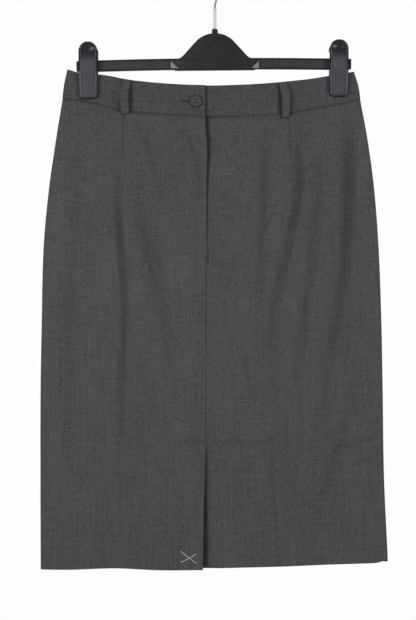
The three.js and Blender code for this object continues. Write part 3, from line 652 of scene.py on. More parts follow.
# Closer steps beside the lap, in the plain seam's groove and over the side seam's roll
LEFT_STEPS = [
    # from, to, step
    (12, 62, 0.9), (15.5, 20.5, 0.35), (SEAM_SIDE - 9, SEAM_SIDE, 0.6),
]
LEFT_HEM = (
    # x, how much higher the hem hangs
    (-60, 1.2), (-6, 0.8), (45, 0.6), (97, 0.3), (149, 0.4), (192, -0.4), (211, -0.5), (219, 1.2),
    (226, 4.0),
)
left_front = cloth(
    "left_front", FRONT, under_share, right_seam, PANEL_TOP, SKIRT_LENGTH,
    left_front_depth, CLOTH, PANEL_RIM, PANEL_SPACING, suiting, LEFT_STEPS, LEFT_HEM, TOP_PAINTED_SHADE,
    lap_painted_shading,
)
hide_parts("front_left_panel")

# The back
# One panel cut on the fold, with two waist darts, seamed to the fronts at both sides.
# It hangs in soft folds like those of the front, which start under the clips.
BACK_SPACING = (3.0, 3.6)


def panel_depth(x, down):
    return np.full_like(x, CLOTH / 2)


back = cloth(
    "back", BACK, left_seam, right_seam, PANEL_TOP, SKIRT_LENGTH,
    panel_depth, CLOTH, PANEL_RIM, BACK_SPACING, suiting, edges=TOP_PAINTED_SHADE,
)
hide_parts("back_panel")

# The waistband
# Folded, interlined bands of the same suiting, one for each front and one for the back. The
# left one runs on behind the right one as far as the button needs.
BAND_PROUD, BAND_INNER = 0.5, 1.6
BAND_THICK = BAND_PROUD + BAND_INNER
BAND_RIM = 1.2
BAND_SPACING = (2.0, 1.6)
# Painted shade over all of each band, and the run over which the painted shadows beside the loops fade in
BAND_PAINTED_SHADE, LOOP_PAINTED_SHADOW_RUN = 0.08, 22.0
# Painted shade along the band's seam at its foot and along its top edge
BAND_EDGE_PAINTED_SHADE = [
    # edge, how far in its painted shade reaches, how strong it is
    ("foot", 1.3, 0.3),
    ("top", 0.8, 0.2),
]


def band_depth(x, down):
    return np.full_like(x, BAND_THICK / 2 - BAND_PROUD)


def under_band_depth(x, down):
    """The band's depth, plus its own thickness and a gap where it lies behind the lap."""
    tucked = left_face(x, np.full_like(down, BAND_HEIGHT)) / SLIDER_DEPTH
    return band_depth(x, down) + tucked * (BAND_THICK + SEAM_GAP)


# Painted shadow on the front bands beside their belt loops
PAINTED_SHADOWS_BESIDE_LOOPS = (
    # x, half width, painted shadow, from how far down
    (-109.0, 2.4, 0.5, 8),
    (-123.6, 2.6, 0.4, 16),
    (84.6, 1.8, 0.45, -10),
    (99.4, 1.4, 0.25, 10),
)


def band_painted_shade(x, down):
    """Painted shade: the bands are painted a little darker all over."""
    return np.full_like(x, BAND_PAINTED_SHADE)


# Painted shadows on the front bands beside the belt loops, over the bands' painted shade
def front_band_painted_shade(x, down):
    beside = [painted_shade * bell(x - at, wide) * smooth(down, start, start + LOOP_PAINTED_SHADOW_RUN)
              for at, wide, painted_shade, start in PAINTED_SHADOWS_BESIDE_LOOPS]
    return band_painted_shade(x, down) + sum(beside)


# The left band also gets the painted shadow beside the lap's edge
def left_band_painted_shade(x, down):
    return front_band_painted_shade(x, down) + lap_painted_shading(x, down)


BANDS = (
    # node, side, start, stop, depth, painted shade, flat width
    ("waistband_right", FRONT, left_seam, lap_share, band_depth, front_band_painted_shade, 0.188),
    ("waistband_left", FRONT, under_share, right_seam, under_band_depth, left_band_painted_shade, 0.240),
    ("waistband_back", BACK, left_seam, right_seam, band_depth, band_painted_shade, 0.388),
)
for node, side, start, stop, depth, dark, flat in BANDS:
    band = cloth(
        node.removeprefix("waistband_") + "_band", side, start, stop, 0.0, BAND_HEIGHT,
        depth, BAND_THICK, BAND_RIM, BAND_SPACING, suiting, edges=BAND_EDGE_PAINTED_SHADE, dark=dark,
    )
    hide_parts(node)

# The belt loops
# Narrow strips of suiting, folded in three and sewn to the band at both ends, so they stand
# off it between. Two show on the front, and three like them are on the back.
LOOP_CLOTH, LOOP_RISE, LOOP_SEAT = 1.5, 3.0, 0.5
LOOP_TOP, LOOP_RIM, LOOP_SPACING = 0.4, 0.7, (0.6, 1.0)
LOOPS = (
    # node, side, x at the top, middle and foot, width, down to, painted shadow at the left and right
    # edges
    ("belt_loop_front_right", FRONT, (-114.2, -116.6, -116.3), 11.9, 44.2, 0.8, 1.8),
    ("belt_loop_front_left", FRONT, (88.0, 92.2, 92.4), 12.6, 47.2, 2.0, 1.1),
    ("belt_loop_back_right", BACK, (-92.0, -91.0, -91.5), 11.6, 45.0, 0.8, 0.5),
    ("belt_loop_back_left", BACK, (86.0, 87.5, 87.0), 11.6, 45.0, 0.5, 0.8),
    ("belt_loop_back_centre", BACK, (-5.0, -4.0, -4.5), 11.6, 45.0, 0.5, 0.6),
)


def loop_depth(end):
    """Outside the band by its seat and a rise that is level at the sewn ends."""
    def depth(x, down):
        f = (down - LOOP_TOP) / (end - LOOP_TOP)
        rise = LOOP_RISE * smooth(np.minimum(f, 1 - f), 0.04, 0.4)
        return -(BAND_PROUD + LOOP_SEAT + rise + LOOP_CLOTH / 2)
    return depth


def loop_edge(centre, end, shift):
    """The share of the girth at one side of a loop, as a function of the height."""
    return lambda down: share_at(cubic(down, (LOOP_TOP, 20, end), centre) + shift, down)


for node, side, centre, width, end, left_painted_shadow, right_painted_shadow in LOOPS:
    loop = cloth(
        node.replace("belt_loop", "loop"), side,
        loop_edge(centre, end, -width / 2), loop_edge(centre, end, width / 2),
        LOOP_TOP, end, loop_depth(end), LOOP_CLOTH, LOOP_RIM, LOOP_SPACING, suiting,
        # Painted shadow along both edges of the loop and across its foot
        edges=[("left", 1.0, left_painted_shadow), ("right", 1.0, right_painted_shadow), ("foot", 0.9, 1.2)],
    )
    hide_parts(node)

# The zip
# A dark zip sewn behind the lap, with metal teeth in pairs down the middle of its woven tape
# and a pressed slider, which is closed up to the band.
ZIP_BEHIND = 16.0
TEETH_TOP, TEETH_END, TEETH_STEP = 60.5, FLY_END - 12, 1.5
TOOTH = (3.2, 0.55, 0.8)
TAPE_FACE = CLOTH + SEAM_GAP + 0.7


def boxes(centres, sides, downs, outs, size):
    """One small block for each centre, along its three directions, by its half size."""
    corner = np.array([(-1, -1, -1), (1, -1, -1), (1, 1, -1), (-1, 1, -1),
                       (-1, -1, 1), (1, -1, 1), (1, 1, 1), (-1, 1, 1)]) * np.array(size) / 2
    axes = np.stack([sides, downs, outs], axis=1)
    points = centres[:, None, :] + np.einsum("kc,ncd->nkd", corner, axes)
    quads = np.array([(0, 3, 2, 1), (4, 5, 6, 7), (0, 1, 5, 4),
                      (1, 2, 6, 5), (2, 3, 7, 6), (3, 0, 4, 7)])
    faces = quads[None] + 8 * np.arange(len(centres))[:, None, None]
    return points.reshape(-1, 3), [faces.reshape(-1, 4)]


def on_skin(side, x, down, out):
    """Points a distance outside the skin, with their unit normals, for arrays of x and down."""
    share, nudge = share_at(x, down), 0.4
    points = skin(side, share, down)
    across = skin(side, share + 1e-3, down) - skin(side, share - 1e-3, down)
    along = skin(side, share, down + nudge) - skin(side, share, down - nudge)
    normal = unit(np.cross(along, across) * -side)
    return points + normal * np.asarray(out)[..., None], normal


tooth_down = np.arange(TEETH_TOP, TEETH_END, TEETH_STEP)
by_turns = np.where(np.arange(len(tooth_down)) % 2, 0.5, -0.5)
tooth_x = lap_x(tooth_down) - ZIP_BEHIND + by_turns
tooth_centre, tooth_out = on_skin(FRONT, tooth_x, tooth_down, np.full_like(tooth_x, -TAPE_FACE - 0.3))
tooth_along = unit(np.gradient(tooth_centre, axis=0))
tooth_side = unit(np.cross(tooth_along, tooth_out))


def metal(name, colour, rough, scratch):
    """Bare metal with fine marks along its length."""
    material, tree, shader = nodes_of(name)
    brushed = noise(tree, place(tree, (1, 1, 0.2)), 700, 3)
    dull = tuple(0.8 * part for part in colour)
    toned = tint(tree, remap(tree, brushed, 0.35, 0.65), dull, colour)
    dullness = remap(tree, brushed, 0.3, 0.7, rough, rough + 0.12)
    dress(tree, shader, toned, dullness, brushed, scratch, 0.0002)
    shader.inputs["Metallic"].default_value = 1.0
    return material


def woven(name, dark, light):
    """Tape woven in narrow slanting ribs."""
    material, tree, shader = nodes_of(name)
    weave = tree.nodes.new("ShaderNodeTexWave")
    weave.inputs["Scale"].default_value = 700
    tree.links.new(place(tree, turn=(0, math.radians(45), 0)), weave.inputs["Vector"])
    fuzz = noise(tree, place(tree), 1200, 2)
    mixed = blend_of(tree, (0.5, weave.outputs["Fac"]), (0.5, fuzz))
    toned = tint(tree, remap(tree, mixed, 0.3, 0.7), dark, light)
    dress(tree, shader, toned, 0.9, mixed, 0.4, 0.0003)
    return material


gunmetal = metal("zip_metal", (0.32, 0.32, 0.33), 0.3, 0.1)
tape_weave = woven("zip_tape_weave", (0.02, 0.02, 0.022), (0.05, 0.05, 0.053))
to_mesh(
    "zip_teeth", boxes(tooth_centre, tooth_side, tooth_along, tooth_out, TOOTH), gunmetal,
)
for node, finish in (("zip_tape", tape_weave), ("zip_slider", gunmetal)):
    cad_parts[node].data.materials.clear()
    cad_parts[node].data.materials.append(finish)

# The button and its hole
# A four-hole resin button with a raised rim, sewn to the extension behind and buttoned through
# a keyhole buttonhole. The hole's edges are whipped with close stitches of dark thread.
BUTTON_X, BUTTON_DOWN, BUTTON_RADIUS = -24.8, 22.3, 8.1
BUTTON_RIM, BUTTON_WELL, BUTTON_LIP = 3.1, 2.1, 5.4
BUTTON_OUT = BAND_PROUD + SEAM_GAP + 0.1
THREAD_HOLE, THREAD_OFF, THREAD_HOLE_DEEP = 1.15, 1.75, 1.3
BUTTON_ROUND = 1.4
# Painted shade in the button's groove, round its rim and in its thread holes
GROOVE_PAINTED_SHADE, EDGE_PAINTED_SHADE, HOLE_PAINTED_SHADE = 0.8, 1.0, 1.6


def rings_surface(points):
    """Faces over a grid of closed rings, with one flat face over the first ring and the last."""
    rings, sides = points.shape[:2]
    index = np.arange(rings * sides).reshape(rings, sides)
    after = np.roll(index, -1, axis=1)
    quads = np.stack([index[:-1], index[1:], after[1:], after[:-1]], axis=-1).reshape(-1, 4)
    return points.reshape(-1, 3), [quads, index[:1], index[-1:, ::-1]]


def joined(*surfaces):
    """Several surfaces as one, each one's faces counted on from the points before it."""
    starts = np.cumsum([0] + [len(points) for points, _ in surfaces])
    blocks = [block + start for (_, faces), start in zip(surfaces, starts) for block in faces]
    return np.concatenate([points for points, _ in surfaces]), blocks


def turned_on(centre, normal, profile, sides=96):
    """Rings (radius, height, side, 3) of a profile of radii and heights turned about a normal."""
    u = unit(np.cross((0, 0, 1), normal))
    v = np.cross(normal, u)
    angle = np.linspace(0, 2 * math.pi, sides, endpoint=False)[None, :, None]
    radius, rise = profile[:, 0][:, None, None], profile[:, 1][:, None, None]
    return centre + radius * (np.cos(angle) * u + np.sin(angle) * v) + rise * normal


def button_profile():
    """Radius and height from the middle of the back, round the rim, down to the well's middle."""
    edge = np.linspace(-math.pi / 2, math.pi / 2, 15)
    round_edge = np.stack([BUTTON_RADIUS - BUTTON_ROUND + BUTTON_ROUND * np.cos(edge),
                           BUTTON_RIM / 2 + BUTTON_RIM / 2 * np.sin(edge)], axis=1)
    slope = np.linspace(0, 1, 8)
    lip = np.stack([BUTTON_LIP + 0.6 - 1.2 * slope,
                    BUTTON_RIM - (BUTTON_RIM - BUTTON_WELL) * smooth(slope, 0, 1)], axis=1)
    well = np.stack([np.linspace(BUTTON_LIP - 0.8, 0.15, 24), np.full(24, BUTTON_WELL)], axis=1)
    return np.concatenate([[(0.2, 0), (BUTTON_RADIUS - 2.2, 0)], round_edge, lip, well])


button_x, button_down = np.array([BUTTON_X]), np.array([BUTTON_DOWN])
button_centre, button_normal = [found[0] for found in
                                on_skin(FRONT, button_x, button_down, np.array([BUTTON_OUT]))]
button_rings = turned_on(button_centre, button_normal, button_profile())
across_axis = unit(np.cross((0, 0, 1), button_normal))
up_axis = np.cross(button_normal, across_axis)
local = button_rings - button_centre
local_x, local_y, local_z = local @ across_axis, local @ up_axis, local @ button_normal
sunk = np.zeros_like(local_x)
hole_places = [(i * THREAD_OFF, j * THREAD_OFF) for i in (-1, 1) for j in (-1, 1)]
for hole_x, hole_y in hole_places:
    away = np.hypot(local_x - hole_x, local_y - hole_y)
    hole = 1 - smooth(away, THREAD_HOLE * 0.75, THREAD_HOLE * 1.1)
    sunk = np.maximum(sunk, THREAD_HOLE_DEEP * hole)
sunk = sunk * (local_z > BUTTON_WELL - 0.1)
button_rings = button_rings - sunk[..., None] * button_normal
groove = bell(np.hypot(local_x, local_y) - BUTTON_LIP, 0.6) * (local_z > BUTTON_WELL - 0.1)


def resin(name, dark, light):
    """Cast resin with a faint swirl, with painted shade where the piece's own face attribute is below 1.
    """
    material, tree, shader = nodes_of(name)
    swirl = noise(tree, place(tree, (1, 1, 2.5)), 190, 4, 0.6)
    factor = combine(tree, "MULTIPLY", remap(tree, swirl, 0.3, 0.7, 0.7, 1.0), marked(tree, "face"))
    grain = noise(tree, place(tree), 500, 2)
    dress(tree, shader, tint(tree, factor, dark, light), 0.5, grain, 0.05, 0.0002)
    return material


horn = resin("button_resin", (0.006, 0.006, 0.006), (0.085, 0.084, 0.087))
button = to_mesh("button", rings_surface(button_rings), horn, 40)
# Painted shade: the groove, the outer rim and the holes are painted darker through the face attribute
outer_edge = smooth(np.hypot(local_x, local_y), BUTTON_RADIUS - 1.6, BUTTON_RADIUS - 0.7)
button_painted_shade = GROOVE_PAINTED_SHADE * groove + EDGE_PAINTED_SHADE * outer_edge + HOLE_PAINTED_SHADE * sunk
mark(button, "face", np.maximum(1 - button_painted_shade, 0).ravel())
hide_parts("button")


def tube(path, normal, radius, sides=8):
    """A round strand: a circle square to the path at each point, closing in at both ends over
    quarter circles. normal is a direction across the path, for each point or for all."""
    along = unit(np.gradient(path, axis=0))
    side = unit(np.cross(along, np.broadcast_to(normal, path.shape)))
    up = np.cross(side, along)
    cap = np.linspace(0, math.pi / 2, 5)[:-1]
    reach = np.concatenate([-radius * np.cos(cap), np.zeros(len(path)), radius * np.cos(cap[::-1])])
    swell = np.concatenate([np.sin(cap) + 0.08, np.ones(len(path)), np.sin(cap[::-1]) + 0.08])
    pick = np.concatenate([np.zeros(4, int), np.arange(len(path)), np.full(4, len(path) - 1)])
    angle = np.linspace(0, 2 * math.pi, sides, endpoint=False)
    circle = (np.cos(angle)[None, :, None] * side[pick][:, None]
              + np.sin(angle)[None, :, None] * up[pick][:, None])
    centre = path[pick] + reach[:, None] * along[pick]
    return rings_surface(centre[:, None] + radius * np.minimum(swell, 1)[:, None, None] * circle)


def stitches(starts, ends, normals, radius, rise):
    """Short arched threads, one for each start and end: rings of six points on the arch
    start + f (end - start) + rise sin(pi f) normal, thinner at both ends."""
    f = np.array([0, 0.12, 0.5, 0.88, 1.0])
    thick = radius * np.array([0.35, 0.85, 1.0, 0.85, 0.35])
    along = unit(ends - starts)
    side = np.cross(along, normals)
    angle = np.linspace(0, 2 * math.pi, 6, endpoint=False)
    circle = (np.cos(angle)[None, :, None] * side[:, None]
              + np.sin(angle)[None, :, None] * normals[:, None])
    spine = (starts[:, None] + f[None, :, None] * (ends - starts)[:, None]
             + rise * np.sin(math.pi * f)[None, :, None] * normals[:, None])
    points = spine[:, :, None] + thick[None, :, None, None] * circle[:, None]
    one = rings_surface(points[0])[1]
    count = points.shape[1] * points.shape[2]
    shift = count * np.arange(len(points))[:, None, None]
    blocks = [(block[None] + shift).reshape(-1, block.shape[1]) for block in one]
    return points.reshape(-1, 3), blocks


def thread(name, dark, light):
    """Plied sewing thread."""
    material, tree, shader = nodes_of(name)
    ply = tree.nodes.new("ShaderNodeTexWave")
    ply.inputs["Scale"].default_value = 1300
    tree.links.new(place(tree, turn=(0, math.radians(40), 0)), ply.inputs["Vector"])
    mixed = blend_of(tree, (0.6, ply.outputs["Fac"]), (0.4, noise(tree, place(tree), 1500, 2)))
    dress(tree, shader, tint(tree, mixed, dark, light), 0.75, mixed, 0.3, 0.0002)
    return material


grey_thread = thread("grey_thread", (0.045, 0.045, 0.046), (0.085, 0.084, 0.086))
hole_thread = thread("hole_thread", (0.028, 0.028, 0.029), (0.06, 0.06, 0.061))
dark_thread = thread("dark_thread", (0.012, 0.012, 0.013), (0.03, 0.03, 0.031))


def button_point(x, y, out):
    return button_centre + x * across_axis + y * up_axis + out * button_normal


shank_rows = []
for hole_y in (-THREAD_OFF, THREAD_OFF):
    for strand in (-0.15, 0.15):
        f = np.linspace(0, 1, 13)[:, None]
        start = button_point(-THREAD_OFF, hole_y + strand, BUTTON_WELL - 1.0)
        end = button_point(THREAD_OFF, hole_y + strand, BUTTON_WELL - 1.0)
        arch = start + f * (end - start) + 1.15 * np.sin(math.pi * f) ** 0.7 * button_normal
        shank_rows.append(tube(arch, button_normal + 0.3 * up_axis, 0.18))
to_mesh("button_thread", joined(*shank_rows), dark_thread)

HOLE_FROM, HOLE_TO = -46.0, -31.0
HOLE_DOWN, EYELET_RADIUS, LEG_HALF = 21.8, 1.3, 0.3
STITCH_REACH, LEG_REACH = 1.5, 0.8
WHIP_RADIUS, WHIP_RISE = 0.3, 0.35
eyelet_x = HOLE_FROM + EYELET_RADIUS + STITCH_REACH
turn = np.linspace(math.radians(28), math.radians(332), 26)
leg_x = np.arange(eyelet_x + 1.5, HOLE_TO, 0.55)
inner_x = np.concatenate([leg_x, leg_x, eyelet_x + EYELET_RADIUS * np.cos(turn)])
inner_down = HOLE_DOWN + np.concatenate([
    np.full_like(leg_x, LEG_HALF), np.full_like(leg_x, -LEG_HALF), EYELET_RADIUS * np.sin(turn)])
outer_x = np.concatenate([leg_x, leg_x, eyelet_x + (EYELET_RADIUS + STITCH_REACH) * np.cos(turn)])
outer_down = HOLE_DOWN + np.concatenate([
    np.full_like(leg_x, LEG_HALF + LEG_REACH), np.full_like(leg_x, -LEG_HALF - LEG_REACH),
    (EYELET_RADIUS + STITCH_REACH) * np.sin(turn)])
lift = np.full_like(inner_x, BAND_PROUD + 0.05)
hole_inner, hole_normal = on_skin(FRONT, inner_x, inner_down, lift)
hole_outer, _ = on_skin(FRONT, outer_x, outer_down, lift)
to_mesh(
    "buttonhole_stitches", stitches(hole_outer, hole_inner, hole_normal, WHIP_RADIUS, WHIP_RISE),
    hole_thread,
)
# Painted shade: a thin dark sheet in the dark thread's colour fills the gap of the slit
slit_x, slit_down = np.meshgrid(
    np.linspace(eyelet_x + EYELET_RADIUS, HOLE_TO, 40), HOLE_DOWN + LEG_HALF * np.linspace(-1, 1, 5),
    indexing="ij",
)
slit_top, _ = on_skin(FRONT, slit_x, slit_down, np.full_like(slit_down, BAND_PROUD + 0.12))
slit_foot, _ = on_skin(FRONT, slit_x, slit_down, np.full_like(slit_down, BAND_PROUD - 0.2))
to_mesh("buttonhole_slit_painted_shade", shell(slit_top, slit_foot), dark_thread)

# The sewing that shows
# A bar tack across the foot of the fly, tacks at the ends of the belt loops, blind stitches
# along the hem, and the white basting cross that holds the vent shut until it is worn.
TACK_RADIUS, TACK_RISE = 0.28, 0.15
BLIND_RADIUS, BLIND_RISE = 0.2, 0.05


def down_at(x, z):
    """The distance below the waist edge at which the tube passes a height z, under the band."""
    seam = WAIST_CENTRE_Z + WAIST_SAG * (x / WAIST_HALF) ** 2 - BAND_HEIGHT
    hem = HEM_CENTRE_Z + HEM_TILT * x
    return BAND_HEIGHT + (SKIRT_LENGTH - BAND_HEIGHT) * (z - seam) / (hem - seam)


def tack(side, x, down, width, tall, count, out):
    """Close upright stitches side by side over a small bar."""
    at = np.linspace(x - width / 2, x + width / 2, count)
    top, normal = on_skin(side, at, np.full_like(at, down - tall / 2), np.full_like(at, out))
    foot, _ = on_skin(side, at, np.full_like(at, down + tall / 2), np.full_like(at, out))
    return stitches(top, foot, normal, TACK_RADIUS, TACK_RISE)


fly_tack = tack(FRONT, -11.9, FLY_END - 2, 1.6, 11, 4, 0.12)
loop_tacks = []
for node, side, centre, width, end, _, _ in LOOPS:
    for x, down in ((centre[0], LOOP_TOP + 2.2), (centre[2], end - 2.2)):
        out = BAND_PROUD + LOOP_SEAT + LOOP_CLOTH + 0.05
        loop_tacks.append(tack(side, x, down, width - 2.6, 1.1, 22, out))
to_mesh("tacks", joined(fly_tack, *loop_tacks), grey_thread)

HEM_STITCH_UP, HEM_STITCH_STEP, HEM_STITCH_LONG = 38.0, 7.0, 1.4
blind = []
for side in (FRONT, BACK):
    at = np.arange(-216, 216, HEM_STITCH_STEP)
    down = np.full_like(at, SKIRT_LENGTH - HEM_STITCH_UP)
    start, normal = on_skin(side, at, down, np.full_like(at, -0.05))
    end, _ = on_skin(side, at + HEM_STITCH_LONG, down + 0.3, np.full_like(at, -0.05))
    clear = np.abs(at - lap_x(down) - 8) > 14 if side == FRONT else np.full(len(at), True)
    blind.append(stitches(start[clear], end[clear], normal[clear], BLIND_RADIUS, BLIND_RISE))
to_mesh("hem_stitches", joined(*blind), grey_thread)

CROSS_ARMS = (
    # x and z at one end, x and z at the other
    (-44.7, -768.0, -23.2, -783.9),
    (-44.9, -783.3, -23.9, -771.4),
)
PLY_RADIUS, PLY_OFF, PLY_TURNS = 0.25, 0.18, 7
white_thread = thread("white_thread", (0.44, 0.44, 0.425), (0.7, 0.7, 0.68))
plies = []
for arm, (x0, z0, x1, z1) in enumerate(CROSS_ARMS):
    f = np.linspace(0, 1, 72)
    x = x0 + f * (x1 - x0)
    down = down_at(x, z0 + f * (z1 - z0) - 0.5 * np.sin(math.pi * f))
    ends_in = 1.2 * (1 - smooth(np.minimum(f, 1 - f), 0, 0.06))
    laid = 0.55 - right_front_depth(x, down) + CLOTH / 2 + 0.75 * arm * bell(f - 0.5, 0.16) - ends_in
    spine, normal = on_skin(FRONT, x, down, laid)
    beside = np.cross(unit(np.gradient(spine, axis=0)), normal)
    for phase in (0, math.pi):
        twist = (2 * math.pi * PLY_TURNS * f + phase)[:, None]
        ply = spine + PLY_OFF * (np.cos(twist) * normal + np.sin(twist) * beside)
        plies.append(tube(ply, normal, PLY_RADIUS))
to_mesh("vent_basting", joined(*plies), white_thread)

# The hanger's bar
# One moulding of black plastic: an I section with a stop at each end, and a humped plate in the
# middle with a ribbed collar, where the hook is moulded in.
BAR_LEFT, BAR_RIGHT, BAR_TOP, BAR_BOTTOM = -181.2, 178.6, -126.5, -140.9
BAR_TILT, BAR_BOW = 0.0082, 7.5e-5
BAR_HALF, WEB_HALF, FLANGE, STOP_HALF, STOP_FOOT = 4.0, 1.5, 1.7, 5.0, 0.9
HUMP_FOOT, HUMP_SHOULDER, SHOULDER_Z, CREST_Z, PLATE_HALF = 45.0, 23.7, -103.2, -93.9, 4.3
KEEL_HALF, GUSSET_HALF, KEEL_Z = 53.5, 58.0, -142.0
COLLAR_TOP = -88.2
STOP_LEFT = CLIP_X[0] - CLIP_WIDTH / 2 - SEAM_GAP
STOP_RIGHT = CLIP_X[1] + CLIP_WIDTH / 2 + SEAM_GAP


def bar_rise(x):
    """The skirt's weight turns the bar a little and bows it down at both ends: a x - b x^2."""
    return BAR_TILT * x - BAR_BOW * x * x


def bowed(surface):
    """The surface with each point raised as the bar is at its x."""
    points, blocks = surface
    return points + bar_rise(points[:, :1]) * (0, 0, 1), blocks


def filleted(corners, radii, steps=5):
    """An outline with each corner replaced by the curve (1-s)^2 A + 2s(1-s) P + s^2 B, from A to
    B on the two sides beside the corner P, each its radius away."""
    corner, reach = np.array(corners, float), np.broadcast_to(radii, len(corners))[:, None]
    before = corner + unit(np.roll(corner, 1, axis=0) - corner) * reach
    after = corner + unit(np.roll(corner, -1, axis=0) - corner) * reach
    s = np.linspace(0, 1, steps)[None, :, None]
    curve = (1 - s) ** 2 * before[:, None] + 2 * s * (1 - s) * corner[:, None] + s**2 * after[:, None]
    return curve.reshape(-1, 2)


def slab(outline, low, high, bevel, axes, steps=4, stations=0):
    """An outline carried from low to high, with both edges rounded over by a quarter circle.
    axes are the outline's two directions and the one it is carried in, over some stations."""
    ahead, behind = np.roll(outline, -1, axis=0), np.roll(outline, 1, axis=0)
    tangent = unit(ahead - behind)
    area = np.sum(outline[:, 0] * ahead[:, 1] - ahead[:, 0] * outline[:, 1])
    inward = np.stack([-tangent[:, 1], tangent[:, 0]], axis=1) * np.sign(area)
    angle = np.linspace(0, math.pi / 2, steps)
    inset = bevel * (1 - np.sin(angle))
    rise = bevel * (1 - np.cos(angle))
    between = np.linspace(low + bevel, high - bevel, stations + 2)[1:-1]
    insets = np.concatenate([inset, 0 * between, inset[::-1]])
    places = np.concatenate([low + rise, between, high - rise[::-1]])
    flat = outline[None] + insets[:, None, None] * inward[None]
    a, b, c = [np.array(axis, float) for axis in axes]
    return rings_surface(flat[..., :1] * a + flat[..., 1:] * b + places[:, None, None] * c)


ALONG_X = ((0, 1, 0), (0, 0, 1), (1, 0, 0))
ALONG_Y = ((1, 0, 0), (0, 0, 1), (0, 1, 0))
beam_outline = filleted([
    (-BAR_HALF, BAR_BOTTOM), (BAR_HALF, BAR_BOTTOM),
    (BAR_HALF, BAR_BOTTOM + FLANGE), (WEB_HALF, BAR_BOTTOM + FLANGE),
    (WEB_HALF, BAR_TOP - FLANGE), (BAR_HALF, BAR_TOP - FLANGE),
    (BAR_HALF, BAR_TOP), (-BAR_HALF, BAR_TOP),
    (-BAR_HALF, BAR_TOP - FLANGE), (-WEB_HALF, BAR_TOP - FLANGE),
    (-WEB_HALF, BAR_BOTTOM + FLANGE), (-BAR_HALF, BAR_BOTTOM + FLANGE),
], 0.55)
beam_length = (STOP_LEFT - 0.2, STOP_RIGHT + 0.2)
beam = bowed(slab(beam_outline, *beam_length, 0.1, ALONG_X, 3, 60))
stop_outline = filleted([
    (-STOP_HALF, BAR_BOTTOM + STOP_FOOT), (STOP_HALF, BAR_BOTTOM + STOP_FOOT),
    (STOP_HALF, BAR_TOP), (-STOP_HALF, BAR_TOP)], 1.0)
stops = [bowed(slab(stop_outline, *ends, 1.1, ALONG_X))
         for ends in ((BAR_LEFT, STOP_LEFT), (STOP_RIGHT, BAR_RIGHT))]
tick_outline = filleted([
    (-WEB_HALF - 0.35, BAR_BOTTOM + 1), (WEB_HALF + 0.35, BAR_BOTTOM + 1),
    (WEB_HALF + 0.35, BAR_TOP - 1), (-WEB_HALF - 0.35, BAR_TOP - 1)], 0.2, 3)
ticks = [bowed(slab(tick_outline, x - 0.5, x + 0.5, 0.2, ALONG_X)) for x in (-84.3, 84.3)]
crest_turn = np.linspace(0.25 * math.pi, 0.75 * math.pi, 25)
crest = np.stack([
    HUMP_SHOULDER * np.cos(crest_turn) / math.cos(math.pi / 4),
    SHOULDER_Z + (CREST_Z - SHOULDER_Z) * (np.sin(crest_turn) - math.sqrt(0.5)) / (1 - math.sqrt(0.5)),
], axis=1)
foot_right = filleted([
    (0, KEEL_Z), (KEEL_HALF, KEEL_Z), (GUSSET_HALF, BAR_TOP - FLANGE), (HUMP_FOOT, BAR_TOP),
    tuple(crest[0])], (0, 3, 2, 5, 0))[5:-5]
foot_left = foot_right[::-1] * (-1, 1)
plate_outline = np.concatenate([foot_right, crest, foot_left])
plate = bowed(slab(plate_outline, -PLATE_HALF, PLATE_HALF, 0.9, ALONG_Y))


def about_z(radius, z):
    """Rings about the z axis, from the radius of each of their points and each one's height."""
    angle = np.linspace(0, 2 * math.pi, radius.shape[1], endpoint=False)
    tall = np.broadcast_to(np.asarray(z, float)[:, None], radius.shape)
    return np.stack([radius * np.cos(angle), radius * np.sin(angle), tall], axis=-1)


# The collar is a short turned neck with ribs round it: radius plus rise times cos(ribs x angle)
COLLAR_PROFILE = np.array([
    # z, radius, ribbed
    (CREST_Z - 3, 4.6, 0),
    (CREST_Z - 0.2, 4.6, 0),
    (CREST_Z + 0.9, 3.9, 0),
    (-91.6, 3.7, 1),
    (-89.6, 3.7, 1),
    (COLLAR_TOP - 0.6, 3.8, 0),
    (COLLAR_TOP, 3.3, 0),
    (COLLAR_TOP, 1.7, 0),
])
COLLAR_SIDES, RIBS, RIB_RISE = 96, 12, 0.22
collar_z, collar_radius, ribbed = COLLAR_PROFILE.T
rib_wave = np.cos(RIBS * np.linspace(0, 2 * math.pi, COLLAR_SIDES, endpoint=False))
collar = rings_surface(about_z(collar_radius[:, None] + RIB_RISE * ribbed[:, None] * rib_wave, collar_z))

RIDGE_CENTRE_Z, RIDGE_RADIUS, RIDGE_ROUND = -116.6, 31.0, 0.55
RIDGE_ARCS = ((176, 217), (-37, 4))
ridges = []
for low, high in RIDGE_ARCS:
    angle = np.radians(np.linspace(low, high, 30))
    path = np.stack([RIDGE_RADIUS * np.cos(angle), np.full(30, -PLATE_HALF + 0.12),
                     RIDGE_CENTRE_Z + RIDGE_RADIUS * np.sin(angle)], axis=1)
    ridges.append(bowed(tube(path, (0, 1, 0), RIDGE_ROUND)))


def plastic(name, dark, light, rough):
    """Moulded plastic, with painted light where the piece's own face attribute is 1."""
    material, tree, shader = nodes_of(name)
    cloudy = noise(tree, place(tree), 60, 3)
    grain = noise(tree, place(tree), 1400, 2)
    scuffs = noise(tree, place(tree, (1, 1, 0.12), (0, math.radians(20), 0)), 420, 2)
    uneven = remap(tree, blend_of(tree, (0.6, cloudy), (0.4, scuffs)), 0.35, 0.65, -0.1, 0.1)
    factor = combine(tree, "ADD", marked(tree, "face"), uneven)
    dullness = remap(tree, cloudy, 0.3, 0.7, rough - 0.05, rough + 0.07)
    dress(tree, shader, tint(tree, factor, dark, light), dullness, grain, 0.04, 0.0001)
    shader.inputs["Specular IOR Level"].default_value = 0.4
    return material


